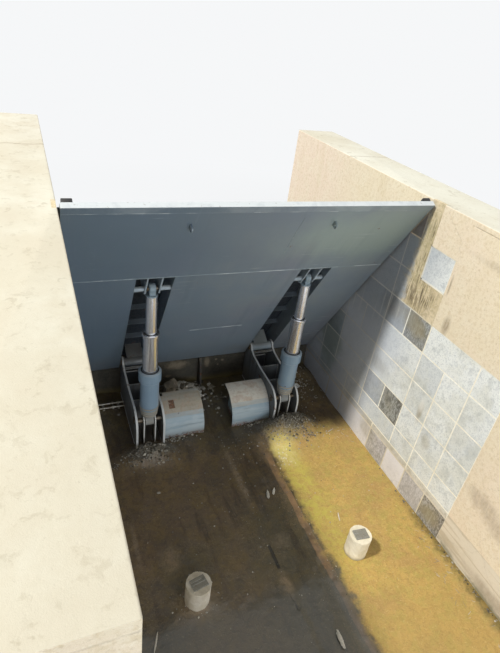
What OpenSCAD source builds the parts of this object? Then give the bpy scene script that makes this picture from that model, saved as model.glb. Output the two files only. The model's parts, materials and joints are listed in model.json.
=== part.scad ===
// Bottom-hinged flap sluice gate between two concrete piers, shown raised.
// Units mm. X across the bay, +Y upstream, +Z up. Z 0 is the underside of the works.
// The leaf is drawn in its own frame (y through its depth, z up its slope) and then leaned.
// The jacks are drawn along z from their foot pins and then leaned.

/* [Bay] */
// clear width between the two pier faces
bay_w = 2970; // [2900:10:3200]
// width of one pier
pier_w = 480; // [400:10:600]
// length of the piers along the flow
pier_l = 5200; // [5000:10:5400]
// height of the pier tops above the bay floor
pier_h = 2740; // [2700:5:2800]
// thickness of the concrete floor
floor_t = 300; // [200:10:400]
// distance from the hinge line to the downstream pier ends
down_l = 3900; // [3800:10:4000]

/* [Stone facing] */
// depth of the recess that takes the facing
recess_d = 30; // [28:1:40]
// thickness of the facing
stone_t = 28; // [18:1:28]
// width of the square slabs, which the facing's length is laid out in
slab_w = 300; // [290:1:310]
// height of each stepped course at the top of the facing
course_h = 308; // [290:1:310]
// distance from the hinge line to the facing's downstream end
facing_end = 2605; // [2550:5:2650]
// height of the facing below its stepped courses
facing_h = 1764; // [1700:2:1780]

/* [Sill] */
// distance of the sill's front upstream of the hinge line
sill_y = 100; // [96:1:110]
// length of the sill along the flow
sill_l = 660; // [600:10:700]
// gap between the bottom seal and the sill
seat_gap = 9; // [5:1:15]
// height of the sill's crest above its seat
crest_h = 60; // [40:2:70]

/* [Leaf] */
// height of the hinge line above the bay floor
hinge_h = 500; // [480:5:540]
// lean of the raised leaf from upright, in degrees
lean = 30.7; // [28:0.1:33]
// gap between the leaf's steel and each pier face
end_gap = 20; // [16:1:30]
// leaf length above the hinge line
leaf_up = 2565; // [2500:5:2600]
// leaf length below the hinge line
leaf_dn = 130; // [120:5:150]
// depth of the leaf over its lower part
leaf_d = 200; // [190:2:220]
// depth of the leaf along its top edge
top_d = 42; // [36:2:80]
// height up the leaf where the back starts to slope in
bevel_z = 1800; // [1700:10:1900]
// thickness of the downstream plate
skin_t = 10; // [8:1:14]
// thickness of the upstream plate
back_t = 8; // [6:1:12]
// height of the pale band along the top
band_h = 60; // [50:2:70]
// distance of each lifting eye from the middle of the leaf
eye_x = 595; // [560:5:620]
// distance of the lifting eyes below the leaf's top edge
eye_drop = 208; // [190:2:230]
// thickness of the leaf ribs
rib_t = 10; // [8:1:14]
// depth of the ribs where they cross the slots
slot_rib = 52; // [40:1:56]
// pitch of the ribs beside the slots
rib_pitch = 310; // [300:5:320]
// thickness of the rubber seals
seal_t = 14; // [10:1:15]
// length of the bottom seal below the leaf
seal_drop = 58; // [50:1:62]

/* [Slots and hinges] */
// distance of each jack from the middle of the bay
jack_x = 750; // [740:1:760]
// clear width of a slot in the leaf
slot_w = 320; // [310:2:330]
// height of a slot above the hinge line
slot_up = 1680; // [1660:5:1700]
// outside diameter of the leaf hinge tube
tube_d = 100; // [90:1:110]
// diameter of the leaf hinge pin
hinge_pin_d = 60; // [50:1:64]
// length of the leaf hinge tube
tube_l = 236; // [230:2:240]
// distance of the jack head pin up the leaf
head_z = 1470; // [1460:1:1480]
// depth of the jack head pin behind the downstream face
head_y = 35; // [30:1:40]
// thickness of the ears at the jack head
ear_t = 12; // [10:1:16]
// gap between the ears at the jack head
ear_gap = 112; // [112:1:120]

/* [Jacks] */
// distance of the jack foot pin downstream of the hinge line
foot_y = 730; // [720:1:740]
// height of the jack foot pin above the bay floor
foot_h = 300; // [290:1:310]
// lean of the raised jack, in degrees
jack_lean = -0.371; // [-0.5:0.001:0.5]
// pin to pin length of the jack when closed
closed_l = 742.55; // [742:0.05:743]
// travel of each of the two stages
stage_s = 369.66; // [369:0.01:370]
// outside diameter of the barrel
barrel_d = 180; // [170:1:190]
// outside diameter of the barrel collar
collar_d = 216; // [206:1:220]
// outside diameter of the first stage
stage_d = 142; // [138:1:144]
// outside diameter of the ring on the first stage
ring_d = 164; // [158:1:170]
// outside diameter of the second stage
rod_d = 100; // [96:1:102]
// width of the eyes at both jack ends
eye_w = 80; // [76:1:84]
// diameter of the jack foot pin
foot_pin_d = 50; // [44:1:56]
// diameter of the jack head pin
head_pin_d = 42; // [38:1:46]

/* [Brackets] */
// distance from the jack line to the outer side of a side plate
brk_out = 145; // [142:1:148]
// thickness of a side plate
brk_t = 20; // [16:1:20]
// width of the base plate
brk_base_w = 296; // [292:1:298]
// diameter of the boss round the leaf hinge pin
boss_d = 130; // [120:2:134]
// radius of the rounded nose over the jack's foot
nose_r = 190; // [180:2:194]
// distance from the jack line to the inner side of a foot ear
foot_ear_in = 50; // [48:1:54]
// thickness of a foot ear
foot_ear_t = 12; // [10:1:14]
// width of a foot ear, and the diameter of its round top
foot_ear_d = 120; // [110:2:124]

/* [Covers and rests] */
// outer radius of the quarter-round covers
cover_r = 300; // [280:5:320]
// plate thickness of the covers
cover_t = 8; // [6:1:10]
// width of a cover
cover_w = 440; // [420:5:460]
// distance of a cover's inner end from the middle of the bay
cover_x = 160; // [150:5:165]
// distance of a cover's arc centre downstream of the hinge line
cover_y = 460; // [450:5:480]
// height of a cover's straight foot
cover_foot = 60; // [50:2:70]
// length of the flat lip along a cover's top
cover_lip = 30; // [20:2:40]
// diameter of the round concrete rests
stub_d = 195; // [180:5:220]
// distance of the left rest from the middle of the bay
left_stub_x = 750; // [730:5:760]
// distance of the right rest from the middle of the bay
right_stub_x = 685; // [680:5:760]
// height of the round concrete rests
stub_h = 235; // [225:1:237]
// thickness of the steel pads on the rests
pad_t = 10; // [6:1:11]
// distance of the rests downstream of the hinge line
stub_y = 2480; // [2460:5:2500]

/* [Hidden] */
$fn = 64;
run = 0.05;
hinge_y = down_l - pier_l / 2;
hinge_z = floor_t + hinge_h;
face_x = bay_w / 2;
half_w = bay_w / 2 - end_gap;
leaf_w = 2 * half_w;
skin_top = leaf_up - band_h;
slope = (leaf_d - top_d) / (leaf_up - bevel_z);
slot_in = slot_w / 2;
slot_out = slot_in + rib_t;
full_l = closed_l + 2 * stage_s;
brk_base_t = 20;
collar_top = closed_l - 120;
rib_in = 60;
post_x = 18;
pipe_d = 20;
web_t = 12;
shelf_x = 86;
shelf_z = tube_d / 2 - 20;
eye_round = 14;
knuckle_w = eye_w - 20;
rib_levels = [for (i = [1 : 4]) i * rib_pitch - rib_t];
upper_levels = [for (i = [1, 2]) slot_up + i * (skin_top - slot_up) / 3];
seal_in = 60;
seal_low = leaf_dn + seal_drop;
seat_h = hinge_h + seal_in * sin(lean) - seal_low * cos(lean) - seat_gap;
crest_y = leaf_d + 62;

// which node is drawn, or all of them

// moves a drawing made at the hinge line (y downstream positive is -y) to its place
module at_hinge_line() {
  translate([0, hinge_y, floor_t]) children();
}

// stands a flat (downstream distance, height) outline up and gives it a width along X
module side_outline(x0, x1, pts) {
  translate([x0, 0, 0])
    rotate([90, 0, 90])
      linear_extrude(x1 - x0)
        polygon([for (p = pts) [-p[0], p[1]]]);
}

// a flat (depth, height) outline in the leaf's own frame
module leaf_outline(x0, x1, pts) {
  translate([x0, 0, 0])
    rotate([90, 0, 90])
      linear_extrude(x1 - x0)
        polygon(pts);
}

module rod_x(d, x0, x1) {
  translate([x0, 0, 0])
    rotate([0, 90, 0])
      cylinder(d = d, h = x1 - x0);
}

module lean_leaf() {
  translate([0, hinge_y, hinge_z])
    rotate([lean, 0, 0])
      children();
}

module lean_jack(x) {
  translate([x, hinge_y - foot_y, floor_t + foot_h])
    rotate([jack_lean, 0, 0])
      children();
}

function back_in(z) = z < bevel_z ? leaf_d - back_t : leaf_d - back_t - (z - bevel_z) * slope;

// outline of the stone facing on a pier, stepped in courses, as (downstream distance, height)
function facing_outline() = [
  [facing_end, 0], [facing_end, facing_h],
  [facing_end - 3 * slab_w, facing_h], [facing_end - 3 * slab_w, facing_h + 2 * course_h],
  [facing_end - 4 * slab_w, facing_h + 2 * course_h], [facing_end - 4 * slab_w, pier_h],
  [facing_end - 4.5 * slab_w, pier_h], [facing_end - 4.5 * slab_w, facing_h + 2 * course_h],
  [facing_end - 7 * slab_w, facing_h + 2 * course_h], [facing_end - 7 * slab_w, facing_h + course_h],
  [facing_end - 10 * slab_w, facing_h + course_h], [facing_end - 10 * slab_w, 0]
];

// the same outline carried 1 mm through the pier's top and 1 mm below the floor, for cutting
function recess_outline() = [
  for (p = facing_outline()) [p[0], p[1] == 0 ? -1 : p[1] == pier_h ? pier_h + 1 : p[1]]
];

module apron() {
  color([0.42, 0.38, 0.3])
    translate([-face_x, -pier_l / 2, 0])
      cube([bay_w, pier_l, floor_t]);
}

module sill() {
  color([0.4, 0.38, 0.34])
    at_hinge_line()
      side_outline(-face_x, face_x, [
        [-sill_y, 0], [-sill_y, seat_h - 35], [-sill_y - 35, seat_h], [-crest_y, seat_h],
        [-crest_y - 20, seat_h + crest_h], [-sill_y - sill_l + 120, seat_h + crest_h],
        [-sill_y - sill_l, seat_h - crest_h], [-sill_y - sill_l, 0]
      ]);
}

// a broken lump with its middle at x and y downstream, of half sizes s, turned about z
module lump(x, y, s, turn) {
  translate([x, hinge_y - y, floor_t])
    rotate(turn)
      scale(s)
        polyhedron(
          points = [
            [-1, -1, 0], [1, -0.8, 0], [0.9, 1, 0], [-0.8, 0.9, 0],
            [-0.7, -0.9, 1.1], [0.8, -0.6, 0.8], [0.6, 0.7, 1.2], [-0.6, 0.5, 1]
          ],
          faces = [
            [0, 1, 2], [0, 2, 3], [4, 6, 5], [4, 7, 6], [0, 5, 1], [0, 4, 5],
            [1, 6, 2], [1, 5, 6], [2, 7, 3], [2, 6, 7], [3, 4, 0], [3, 7, 4]
          ]
        );
}

// broken lumps lying between the left bracket and the middle post, with one beyond the post
module sill_rubble() {
  color([0.55, 0.52, 0.46]) {
    lump(-350, 50, [130, 95, 150], 8);
    lump(-175, 60, [52, 70, 95], -14);
    lump(-240, 210, [90, 60, 60], 35);
    lump(-425, 215, [60, 45, 45], 12);
    lump(-90, 150, [55, 40, 50], 60);
    lump(150, 70, [60, 50, 45], 20);
  }
}

module pier() {
  difference() {
    translate([face_x, -pier_l / 2, 0])
      cube([pier_w, pier_l, floor_t + pier_h]);
    at_hinge_line()
      side_outline(face_x - 1, face_x + recess_d, recess_outline());
  }
}

module right_pier() {
  color([0.86, 0.8, 0.68]) pier();
}

module left_pier() {
  color([0.86, 0.8, 0.68]) mirror([1, 0, 0]) pier();
}

module facing() {
  at_hinge_line()
    side_outline(face_x + recess_d - stone_t, face_x + recess_d, facing_outline());
}

module right_facing() {
  color([0.7, 0.7, 0.66]) facing();
}

module left_facing() {
  color([0.7, 0.7, 0.66]) mirror([1, 0, 0]) facing();
}

module stub_at(x) {
  color([0.62, 0.58, 0.5])
    translate([x, hinge_y - stub_y, floor_t])
      cylinder(d = stub_d, h = stub_h);
}

module left_stub() {
  stub_at(-left_stub_x);
}

module right_stub() {
  stub_at(right_stub_x);
}

module pad_at(x, turn) {
  color([0.4, 0.44, 0.46])
    translate([x, hinge_y - stub_y, floor_t + stub_h])
      rotate(turn)
        translate([-60, -45, 0])
          cube([120, 90, pad_t]);
}

module left_pad() {
  pad_at(-left_stub_x, 12);
}

module right_pad() {
  pad_at(right_stub_x, -6);
}

// outline of a side plate: up its back, over the leaf hinge, down to the nose over the jack's foot
function brk_outline() = concat(
  [
    [-78, brk_base_t], [-78, hinge_h - 70], [-boss_d / 2 + 7, hinge_h], [50, hinge_h + 12],
    [140, hinge_h - 28], [340, foot_h + 147]
  ],
  [for (a = [90 : -9 : 0]) [foot_y - 80 + nose_r * cos(a), foot_h - 50 + nose_r * sin(a)]],
  [[foot_y - 78 + nose_r, brk_base_t]]
);

module brk_side(x) {
  difference() {
    union() {
      side_outline(x, x + brk_t, brk_outline());
      translate([0, 0, hinge_h])
        rod_x(boss_d, x, x + brk_t);
    }
    translate([0, 0, hinge_h])
      rod_x(hinge_pin_d, x - 1, x + brk_t + 1);
    translate([0, -foot_y, foot_h])
      rod_x(foot_pin_d, x - 1, x + brk_t + 1);
  }
}

// a web between the side plates, y downstream, t thick and h high
module brk_web(y, t, h) {
  translate([-brk_out + brk_t, -y - t, brk_base_t])
    cube([2 * (brk_out - brk_t), t, h]);
}

module bracket(cx) {
  color([0.42, 0.47, 0.5])
    translate([cx, hinge_y, floor_t]) {
      brk_side(-brk_out);
      brk_side(brk_out - brk_t);
      translate([-brk_base_w / 2, -foot_y - 140, 0])
        cube([brk_base_w, foot_y + 220, brk_base_t]);
      brk_web(-78, 20, 290);
      brk_web(278, web_t, hinge_h - 110);
      brk_web(488, web_t, hinge_h - 150);
      side_outline(-brk_out + brk_t, brk_out - brk_t, [
        [72, hinge_h - 26], [94, hinge_h - 36], [99, hinge_h - 25], [77, hinge_h - 15]
      ]);
    }
}

module left_bracket() {
  bracket(-jack_x);
}

module right_bracket() {
  bracket(jack_x);
}

module foot_ear(x) {
  difference() {
    union() {
      translate([x, -foot_y - foot_ear_d / 2, brk_base_t])
        cube([foot_ear_t, foot_ear_d, foot_h - brk_base_t]);
      translate([0, -foot_y, foot_h])
        rod_x(foot_ear_d, x, x + foot_ear_t);
    }
    translate([0, -foot_y, foot_h])
      rod_x(foot_pin_d, x - 1, x + foot_ear_t + 1);
  }
}

module foot_ears(cx) {
  color([0.46, 0.44, 0.42])
    translate([cx, hinge_y, floor_t]) {
      foot_ear(foot_ear_in);
      foot_ear(-foot_ear_in - foot_ear_t);
    }
}

module left_foot_ears() {
  foot_ears(-jack_x);
}

module right_foot_ears() {
  foot_ears(jack_x);
}

module hinge_pin(cx) {
  color([0.5, 0.48, 0.44])
    translate([cx, hinge_y, hinge_z])
      rod_x(hinge_pin_d, -brk_out - 8, brk_out + 8);
}

module left_hinge_pin() {
  hinge_pin(-jack_x);
}

module right_hinge_pin() {
  hinge_pin(jack_x);
}

module foot_pin(cx) {
  color([0.5, 0.48, 0.44])
    translate([cx, hinge_y - foot_y, floor_t + foot_h])
      rod_x(foot_pin_d, -brk_out - 8, brk_out + 8);
}

module left_foot_pin() {
  foot_pin(-jack_x);
}

module right_foot_pin() {
  foot_pin(jack_x);
}

// a quarter ring of radius r about a cover's arc centre, from a0 to a1 in steps
function cover_arc(r, a0, step, a1) =
  [for (a = [a0 : step : a1]) [cover_y + r * cos(a), cover_foot + r * sin(a)]];

function cover_pts() = concat(
  [[cover_y - cover_lip, cover_foot + cover_r]],
  cover_arc(cover_r, 90, -9, 0),
  [[cover_y + cover_r, 0], [cover_y + cover_r - cover_t, 0]],
  cover_arc(cover_r - cover_t, 0, 9, 90),
  [[cover_y - cover_lip, cover_foot + cover_r - cover_t]]
);

function cover_rib() = concat(
  [[cover_y + cover_r - cover_t, 0]],
  cover_arc(cover_r - cover_t, 0, 9, 90),
  [[cover_y, 0]]
);

// a cover with its end nearest mid bay at x0, standing on the floor on its edge and two ribs
module cover(x0) {
  at_hinge_line() {
    side_outline(x0, x0 + cover_w, cover_pts());
    side_outline(x0 + rib_in, x0 + rib_in + cover_t, cover_rib());
    side_outline(x0 + cover_w - rib_in - cover_t, x0 + cover_w - rib_in, cover_rib());
  }
}

// holes rusted through a cover's foot, each as [distance along, diameter]
module rust_bites(x0, bites) {
  at_hinge_line()
    for (b = bites)
      translate([x0 + b[0], -cover_y - cover_r - 1, -4])
        rotate([-90, 0, 0])
          cylinder(d = b[1], h = cover_t + 2);
}

module left_cover() {
  color([0.55, 0.6, 0.63])
    difference() {
      cover(-cover_x - cover_w);
      rust_bites(-cover_x - cover_w, [[96, 46], [150, 30], [352, 56]]);
      at_hinge_line()
        translate([-cover_x - cover_w - 1, -cover_y - 20, cover_foot + cover_r - 20])
          cube([48, cover_lip + 21, 30]);
    }
}

module right_cover() {
  color([0.55, 0.6, 0.63])
    difference() {
      cover(cover_x);
      rust_bites(cover_x, [[34, 40], [290, 52], [335, 34]]);
    }
}

// an upright plate on a foot, against the sill's front
module centre_post() {
  color([0.35, 0.34, 0.32])
    at_hinge_line() {
      side_outline(post_x, post_x + brk_t, [
        [-sill_y, 0], [-sill_y, seat_h + 12], [-sill_y + 30, seat_h + 12], [-sill_y + 60, seat_h - 30],
        [-sill_y + 120, 16], [-sill_y + 120, 0]
      ]);
      side_outline(post_x - 50, post_x + brk_t + 50, [
        [-sill_y, 0], [-sill_y, 16], [-sill_y + 150, 16], [-sill_y + 150, 0]
      ]);
    }
}

module feed_pipes() {
  color([0.6, 0.6, 0.58])
    at_hinge_line()
      for (y = [120, 185])
        translate([0, -y, 50])
          rod_x(pipe_d, -face_x, -jack_x - brk_out);
}

module leaf_face() {
  color([0.4, 0.46, 0.5])
    lean_leaf()
      difference() {
        translate([-half_w, 0, -leaf_dn])
          cube([leaf_w, skin_t, leaf_dn + skin_top]);
        for (cx = [-jack_x, jack_x])
          translate([cx - slot_in, -1, -leaf_dn - 1])
            cube([slot_w, skin_t + 2, leaf_dn + 1 + slot_up]);
      }
}

module leaf_back() {
  color([0.38, 0.44, 0.47])
    lean_leaf()
      leaf_outline(-half_w, half_w, [
        [leaf_d - back_t, -leaf_dn], [leaf_d, -leaf_dn], [leaf_d, bevel_z],
        [back_in(skin_top) + back_t, skin_top], [back_in(skin_top), skin_top],
        [leaf_d - back_t, bevel_z]
      ]);
}

module leaf_top_band() {
  color([0.8, 0.82, 0.82])
    lean_leaf()
      leaf_outline(-half_w, half_w, [
        [-4, skin_top], [back_in(skin_top) + back_t, skin_top], [top_d, leaf_up], [-4, leaf_up]
      ]);
}

// one cross plate from x0 to x1, from depth y0 back to the upstream plate
module cross_plate(x0, x1, y0, z) {
  leaf_outline(x0, x1, [
    [y0, z], [back_in(z), z], [back_in(z + rib_t), z + rib_t], [y0, z + rib_t]
  ]);
}

// a cross plate cut back where it passes the slots
module notched_plate(z) {
  cross_plate(-half_w + rib_t, -jack_x - slot_out, skin_t, z);
  cross_plate(-jack_x + slot_out, jack_x - slot_out, skin_t, z);
  cross_plate(jack_x + slot_out, half_w - rib_t, skin_t, z);
  for (cx = [-jack_x, jack_x])
    cross_plate(cx - slot_in, cx + slot_in, leaf_d - back_t - slot_rib, z);
}

module leaf_bottom_beam() {
  color([0.4, 0.46, 0.5])
    lean_leaf()
      notched_plate(-leaf_dn);
}

module leaf_ribs() {
  color([0.4, 0.46, 0.5])
    lean_leaf() {
      for (z = rib_levels)
        notched_plate(z);
      cross_plate(-half_w + rib_t, half_w - rib_t, skin_t, slot_up);
      for (z = upper_levels)
        cross_plate(-half_w + rib_t, half_w - rib_t, skin_t, z);
    }
}

module leaf_ends() {
  color([0.4, 0.46, 0.5])
    lean_leaf()
      for (x = [-half_w, half_w - rib_t])
        leaf_outline(x, x + rib_t, [
          [skin_t, -leaf_dn], [leaf_d - back_t, -leaf_dn], [leaf_d - back_t, bevel_z],
          [back_in(skin_top), skin_top], [skin_t, skin_top]
        ]);
}

module leaf_slot_sides() {
  color([0.4, 0.46, 0.5])
    lean_leaf()
      for (cx = [-jack_x, jack_x], x = [-slot_out, slot_in])
        translate([cx + x, skin_t, -leaf_dn])
          cube([rib_t, leaf_d - back_t - skin_t, leaf_dn + slot_up]);
}

module hinge_tube(cx) {
  color([0.5, 0.56, 0.6])
    lean_leaf()
      translate([cx, 0, 0])
        difference() {
          union() {
            rod_x(tube_d, -tube_l / 2, tube_l / 2);
            for (x = [-tube_l / 2, tube_l / 2 - web_t])
              rod_x(tube_d + 12, x, x + web_t);
            for (x = [-shelf_x, -web_t / 2, shelf_x - web_t])
              leaf_outline(x, x + web_t, [
                [0, 4 - tube_d / 2], [leaf_d - back_t, -112],
                [leaf_d - back_t, shelf_z + 2], [0, shelf_z + 2]
              ]);
            leaf_outline(-shelf_x, shelf_x, [
              [0, shelf_z], [leaf_d - back_t, shelf_z],
              [leaf_d - back_t, shelf_z + web_t], [0, shelf_z + web_t]
            ]);
          }
          rod_x(hinge_pin_d + 2 * run, -tube_l, tube_l);
        }
}

module left_hinge_tube() {
  hinge_tube(-jack_x);
}

module right_hinge_tube() {
  hinge_tube(jack_x);
}

module head_ears(cx) {
  color([0.5, 0.56, 0.6])
    lean_leaf()
      translate([cx, 0, 0]) {
        for (x = [-ear_gap / 2 - ear_t, ear_gap / 2])
          difference() {
            leaf_outline(x, x + ear_t, [
              [4, head_z - 40], [30, head_z - 70], [leaf_d - back_t, head_z - 70],
              [leaf_d - back_t, slot_up], [4, slot_up]
            ]);
            translate([0, head_y, head_z])
              rod_x(head_pin_d, x - 1, x + ear_t + 1);
          }
        translate([0, head_y, head_z]) {
          rod_x(46, ear_gap / 2 + ear_t, slot_in);
          rod_x(46, -slot_in, -ear_gap / 2 - ear_t);
        }
      }
}

module left_head_ears() {
  head_ears(-jack_x);
}

module right_head_ears() {
  head_ears(jack_x);
}

// an eye plate that stands off the leaf, with its hole across the bay
module lifting_eyes() {
  color([0.75, 0.77, 0.77])
    lean_leaf()
      for (x = [-eye_x, eye_x])
        translate([x - 6, -30, leaf_up - eye_drop])
          difference() {
            union() {
              translate([0, 0, -25])
                cube([12, 30, 50]);
              rod_x(50, 0, 12);
            }
            rod_x(24, -1, 13);
          }
}

module side_seals() {
  color([0.06, 0.06, 0.06])
    lean_leaf()
      for (x = [-half_w - seal_t, half_w])
        translate([x, 14, -leaf_dn])
          cube([seal_t, 40, leaf_dn + skin_top]);
}

module bottom_seal() {
  color([0.06, 0.06, 0.06])
    lean_leaf()
      for (x = [[-half_w + rib_t, -jack_x - slot_out], [-jack_x + slot_out, jack_x - slot_out],
                [jack_x + slot_out, half_w - rib_t]])
        translate([x[0], seal_in, -seal_low])
          cube([x[1] - x[0], seal_t, seal_drop]);
}

module barrel(cx) {
  color([0.42, 0.5, 0.55])
    lean_jack(cx)
      difference() {
        union() {
          rotate_extrude()
            polygon([
              [0, 66], [62, 66], [72, 76], [barrel_d / 2 - 4, 176], [barrel_d / 2, 186],
              [barrel_d / 2, 498], [collar_d / 2 - 6, 506], [collar_d / 2, 514],
              [collar_d / 2, collar_top - 12], [collar_d / 2 - 12, collar_top],
              [0, collar_top]
            ]);
          rod_x(110, -eye_w / 2, eye_w / 2);
          cylinder(d = 74, h = 80);
        }
        translate([0, 0, 96])
          cylinder(d = stage_d + 2 * run, h = collar_top);
        rod_x(foot_pin_d + 2 * run, -eye_w, eye_w);
      }
}

module left_barrel() {
  barrel(-jack_x);
}

module right_barrel() {
  barrel(jack_x);
}

module stage(cx) {
  color([0.78, 0.78, 0.78])
    lean_jack(cx)
      translate([0, 0, stage_s + collar_top + 5])
        difference() {
          union() {
            translate([0, 0, -515])
              cylinder(d = stage_d, h = 520);
            rotate_extrude()
              polygon([
                [0, 0], [ring_d / 2 - 6, 0], [ring_d / 2 - 6, 12], [ring_d / 2 - 10, 15],
                [ring_d / 2 - 10, 19], [ring_d / 2, 22], [ring_d / 2, 32], [ring_d / 2 - 3, 35], [0, 35]
              ]);
          }
          translate([0, 0, -516])
            cylinder(d = rod_d + 2 * run, h = 560);
          translate([0, 0, 25])
            cylinder(d1 = rod_d, d2 = rod_d + 26, h = 11);
        }
}

module left_stage() {
  stage(-jack_x);
}

module right_stage() {
  stage(jack_x);
}

// quarter of a round, of radius r about (x, y), from angle a0
function quarter(x, y, r, a0) = [for (a = [a0 : 15 : a0 + 90]) [x + r * cos(a), y + r * sin(a)]];

// a short rod along X with rounded ends
module knuckle(d, w) {
  rotate([0, 90, 0])
    rotate_extrude()
      polygon(concat(
        [[0, -w / 2]],
        quarter(d / 2 - eye_round, eye_round - w / 2, eye_round, -90),
        quarter(d / 2 - eye_round, w / 2 - eye_round, eye_round, 0),
        [[0, w / 2]]
      ));
}

module rod(cx) {
  color([0.82, 0.82, 0.82])
    lean_jack(cx)
      translate([0, 0, full_l])
        difference() {
          union() {
            translate([0, 0, -75 - 548])
              cylinder(d = rod_d, h = 560);
            translate([0, 0, -70])
              cylinder(d = rod_d + 6, h = 12);
            translate([4 - knuckle_w / 2, -36, -60])
              cube([knuckle_w - 8, 72, 60]);
            knuckle(94, knuckle_w);
          }
          rod_x(head_pin_d, -eye_w, eye_w);
        }
}

module left_rod() {
  rod(-jack_x);
}

module right_rod() {
  rod(jack_x);
}

module head_pin(cx) {
  color([0.5, 0.48, 0.44])
    lean_jack(cx)
      translate([0, 0, full_l])
        rod_x(head_pin_d, -eye_w / 2 - 8, eye_w / 2 + 8);
}

module left_head_pin() {
  head_pin(-jack_x);
}

module right_head_pin() {
  head_pin(jack_x);
}

apron();
sill();
sill_rubble();
left_pier();
right_pier();
left_facing();
right_facing();
left_bracket();
right_bracket();
left_foot_ears();
right_foot_ears();
left_hinge_pin();
right_hinge_pin();
left_foot_pin();
right_foot_pin();
left_cover();
right_cover();
left_stub();
right_stub();
left_pad();
right_pad();
centre_post();
feed_pipes();
leaf_face();
leaf_back();
leaf_top_band();
leaf_bottom_beam();
leaf_ribs();
leaf_ends();
leaf_slot_sides();
left_hinge_tube();
right_hinge_tube();
left_head_ears();
right_head_ears();
lifting_eyes();
side_seals();
bottom_seal();
left_barrel();
right_barrel();
left_stage();
right_stage();
left_rod();
right_rod();
left_head_pin();
right_head_pin();
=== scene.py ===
import bmesh
import bpy
import json
import math
import random
from mathutils import Matrix, Vector, noise


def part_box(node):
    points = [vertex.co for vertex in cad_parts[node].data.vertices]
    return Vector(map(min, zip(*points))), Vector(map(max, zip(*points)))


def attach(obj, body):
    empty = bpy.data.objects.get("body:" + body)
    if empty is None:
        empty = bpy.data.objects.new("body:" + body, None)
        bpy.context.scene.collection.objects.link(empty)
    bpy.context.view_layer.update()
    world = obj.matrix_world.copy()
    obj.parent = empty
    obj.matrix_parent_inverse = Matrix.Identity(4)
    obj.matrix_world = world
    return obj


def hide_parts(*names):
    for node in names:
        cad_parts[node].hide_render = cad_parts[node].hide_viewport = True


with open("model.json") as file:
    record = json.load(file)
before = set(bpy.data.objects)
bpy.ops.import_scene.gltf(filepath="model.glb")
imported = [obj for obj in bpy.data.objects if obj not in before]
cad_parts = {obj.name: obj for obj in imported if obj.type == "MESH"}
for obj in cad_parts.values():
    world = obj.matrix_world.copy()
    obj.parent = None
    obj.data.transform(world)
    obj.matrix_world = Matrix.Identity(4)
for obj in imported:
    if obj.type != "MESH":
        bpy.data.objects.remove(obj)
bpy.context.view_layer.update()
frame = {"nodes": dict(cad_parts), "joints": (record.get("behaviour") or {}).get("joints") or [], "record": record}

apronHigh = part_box("apron")[1]
pierLow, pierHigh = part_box("right_pier")
jointAt = {j["name"]: Vector(j["pos_m"]) for j in frame["joints"] if "pos_m" in j}
site = {
    "floor": apronHigh.z,
    "face": apronHigh.x,  # inner face of the right pier
    "outer": pierHigh.x,
    "top": pierHigh.z,
    "down": pierLow.y,  # downstream end
    "up": pierHigh.y,  # upstream end
    "lean": math.radians(30.7),  # of the raised leaf
    "jackLean": math.radians(-0.371),
    "foot": jointAt["right_jack_pivot"],
    "hinge": jointAt["leaf_hinge"],
    "pond": 1.70,  # how high the water has stood upstream, over the floor
}
floorZ, faceX, hingeY = site["floor"], site["face"], site["hinge"].y
leafPlace = Matrix.Translation(site["hinge"]) @ Matrix.Rotation(site["lean"], 4, "X")
sides = {"left": -1, "right": 1}
print("frame loaded")


def jackPlace(side):  # z runs up the jack from its foot pin
    foot = site["foot"]
    return Matrix.Translation((sides[side] * foot.x, foot.y, foot.z)) @ Matrix.Rotation(site["jackLean"], 4, "X")


def downstream(x, distance, height):  # a point by its distance downstream of the hinge line
    return Vector((x, hingeY - distance, floorZ + height))


# Mesh helpers
def newPiece(bm, name, body, finishName, smoothAngle=35, replaces=()):
    mesh = bpy.data.meshes.new(name)
    bm.to_mesh(mesh)
    bm.free()
    mesh.shade_smooth()
    mesh.set_sharp_from_angle(angle=math.radians(smoothAngle))
    mesh.materials.append(finishes[finishName])
    piece = bpy.data.objects.new(name, mesh)
    bpy.context.scene.collection.objects.link(piece)
    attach(piece, body)
    if replaces:
        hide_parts(*replaces)


def put(bm, part, place):  # adds a small mesh to a larger one
    mesh = bpy.data.meshes.new("part")
    part.to_mesh(mesh)
    part.free()
    if place:
        mesh.transform(place)
    bm.from_mesh(mesh)
    bpy.data.meshes.remove(mesh)


def bevelled(part, edges, width, segments):
    bmesh.ops.bevel(part, geom=edges, offset=width, segments=segments, profile=0.5, affect="EDGES", material=-1)


def addBox(bm, low, high, place=None, bevel=0.0, segments=2):
    part = bmesh.new()
    bmesh.ops.create_cube(part, size=1.0)
    low, high = Vector(low), Vector(high)
    bmesh.ops.scale(part, vec=high - low, verts=part.verts)
    bmesh.ops.translate(part, vec=(high + low) / 2, verts=part.verts)
    if bevel:
        bevelled(part, part.edges[:], bevel, segments)
    put(bm, part, place)


def addRod(bm, radius, length, place, segments=24, topRadius=None, bevel=0.0):  # along z of place
    part = bmesh.new()
    top = radius if topRadius is None else topRadius
    bmesh.ops.create_cone(part, cap_ends=True, segments=segments, radius1=radius, radius2=top, depth=length)
    bmesh.ops.translate(part, vec=(0, 0, length / 2), verts=part.verts)
    if bevel:
        bevelled(part, [e for e in part.edges if abs(e.verts[0].co.z - e.verts[1].co.z) < 1e-6], bevel, 2)
    put(bm, part, place)


def facingZ(point, direction):  # a place whose z axis points along direction
    turn = Vector((0, 0, 1)).rotation_difference(Vector(direction)).to_matrix().to_4x4()
    return Matrix.Translation(point) @ turn


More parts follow.
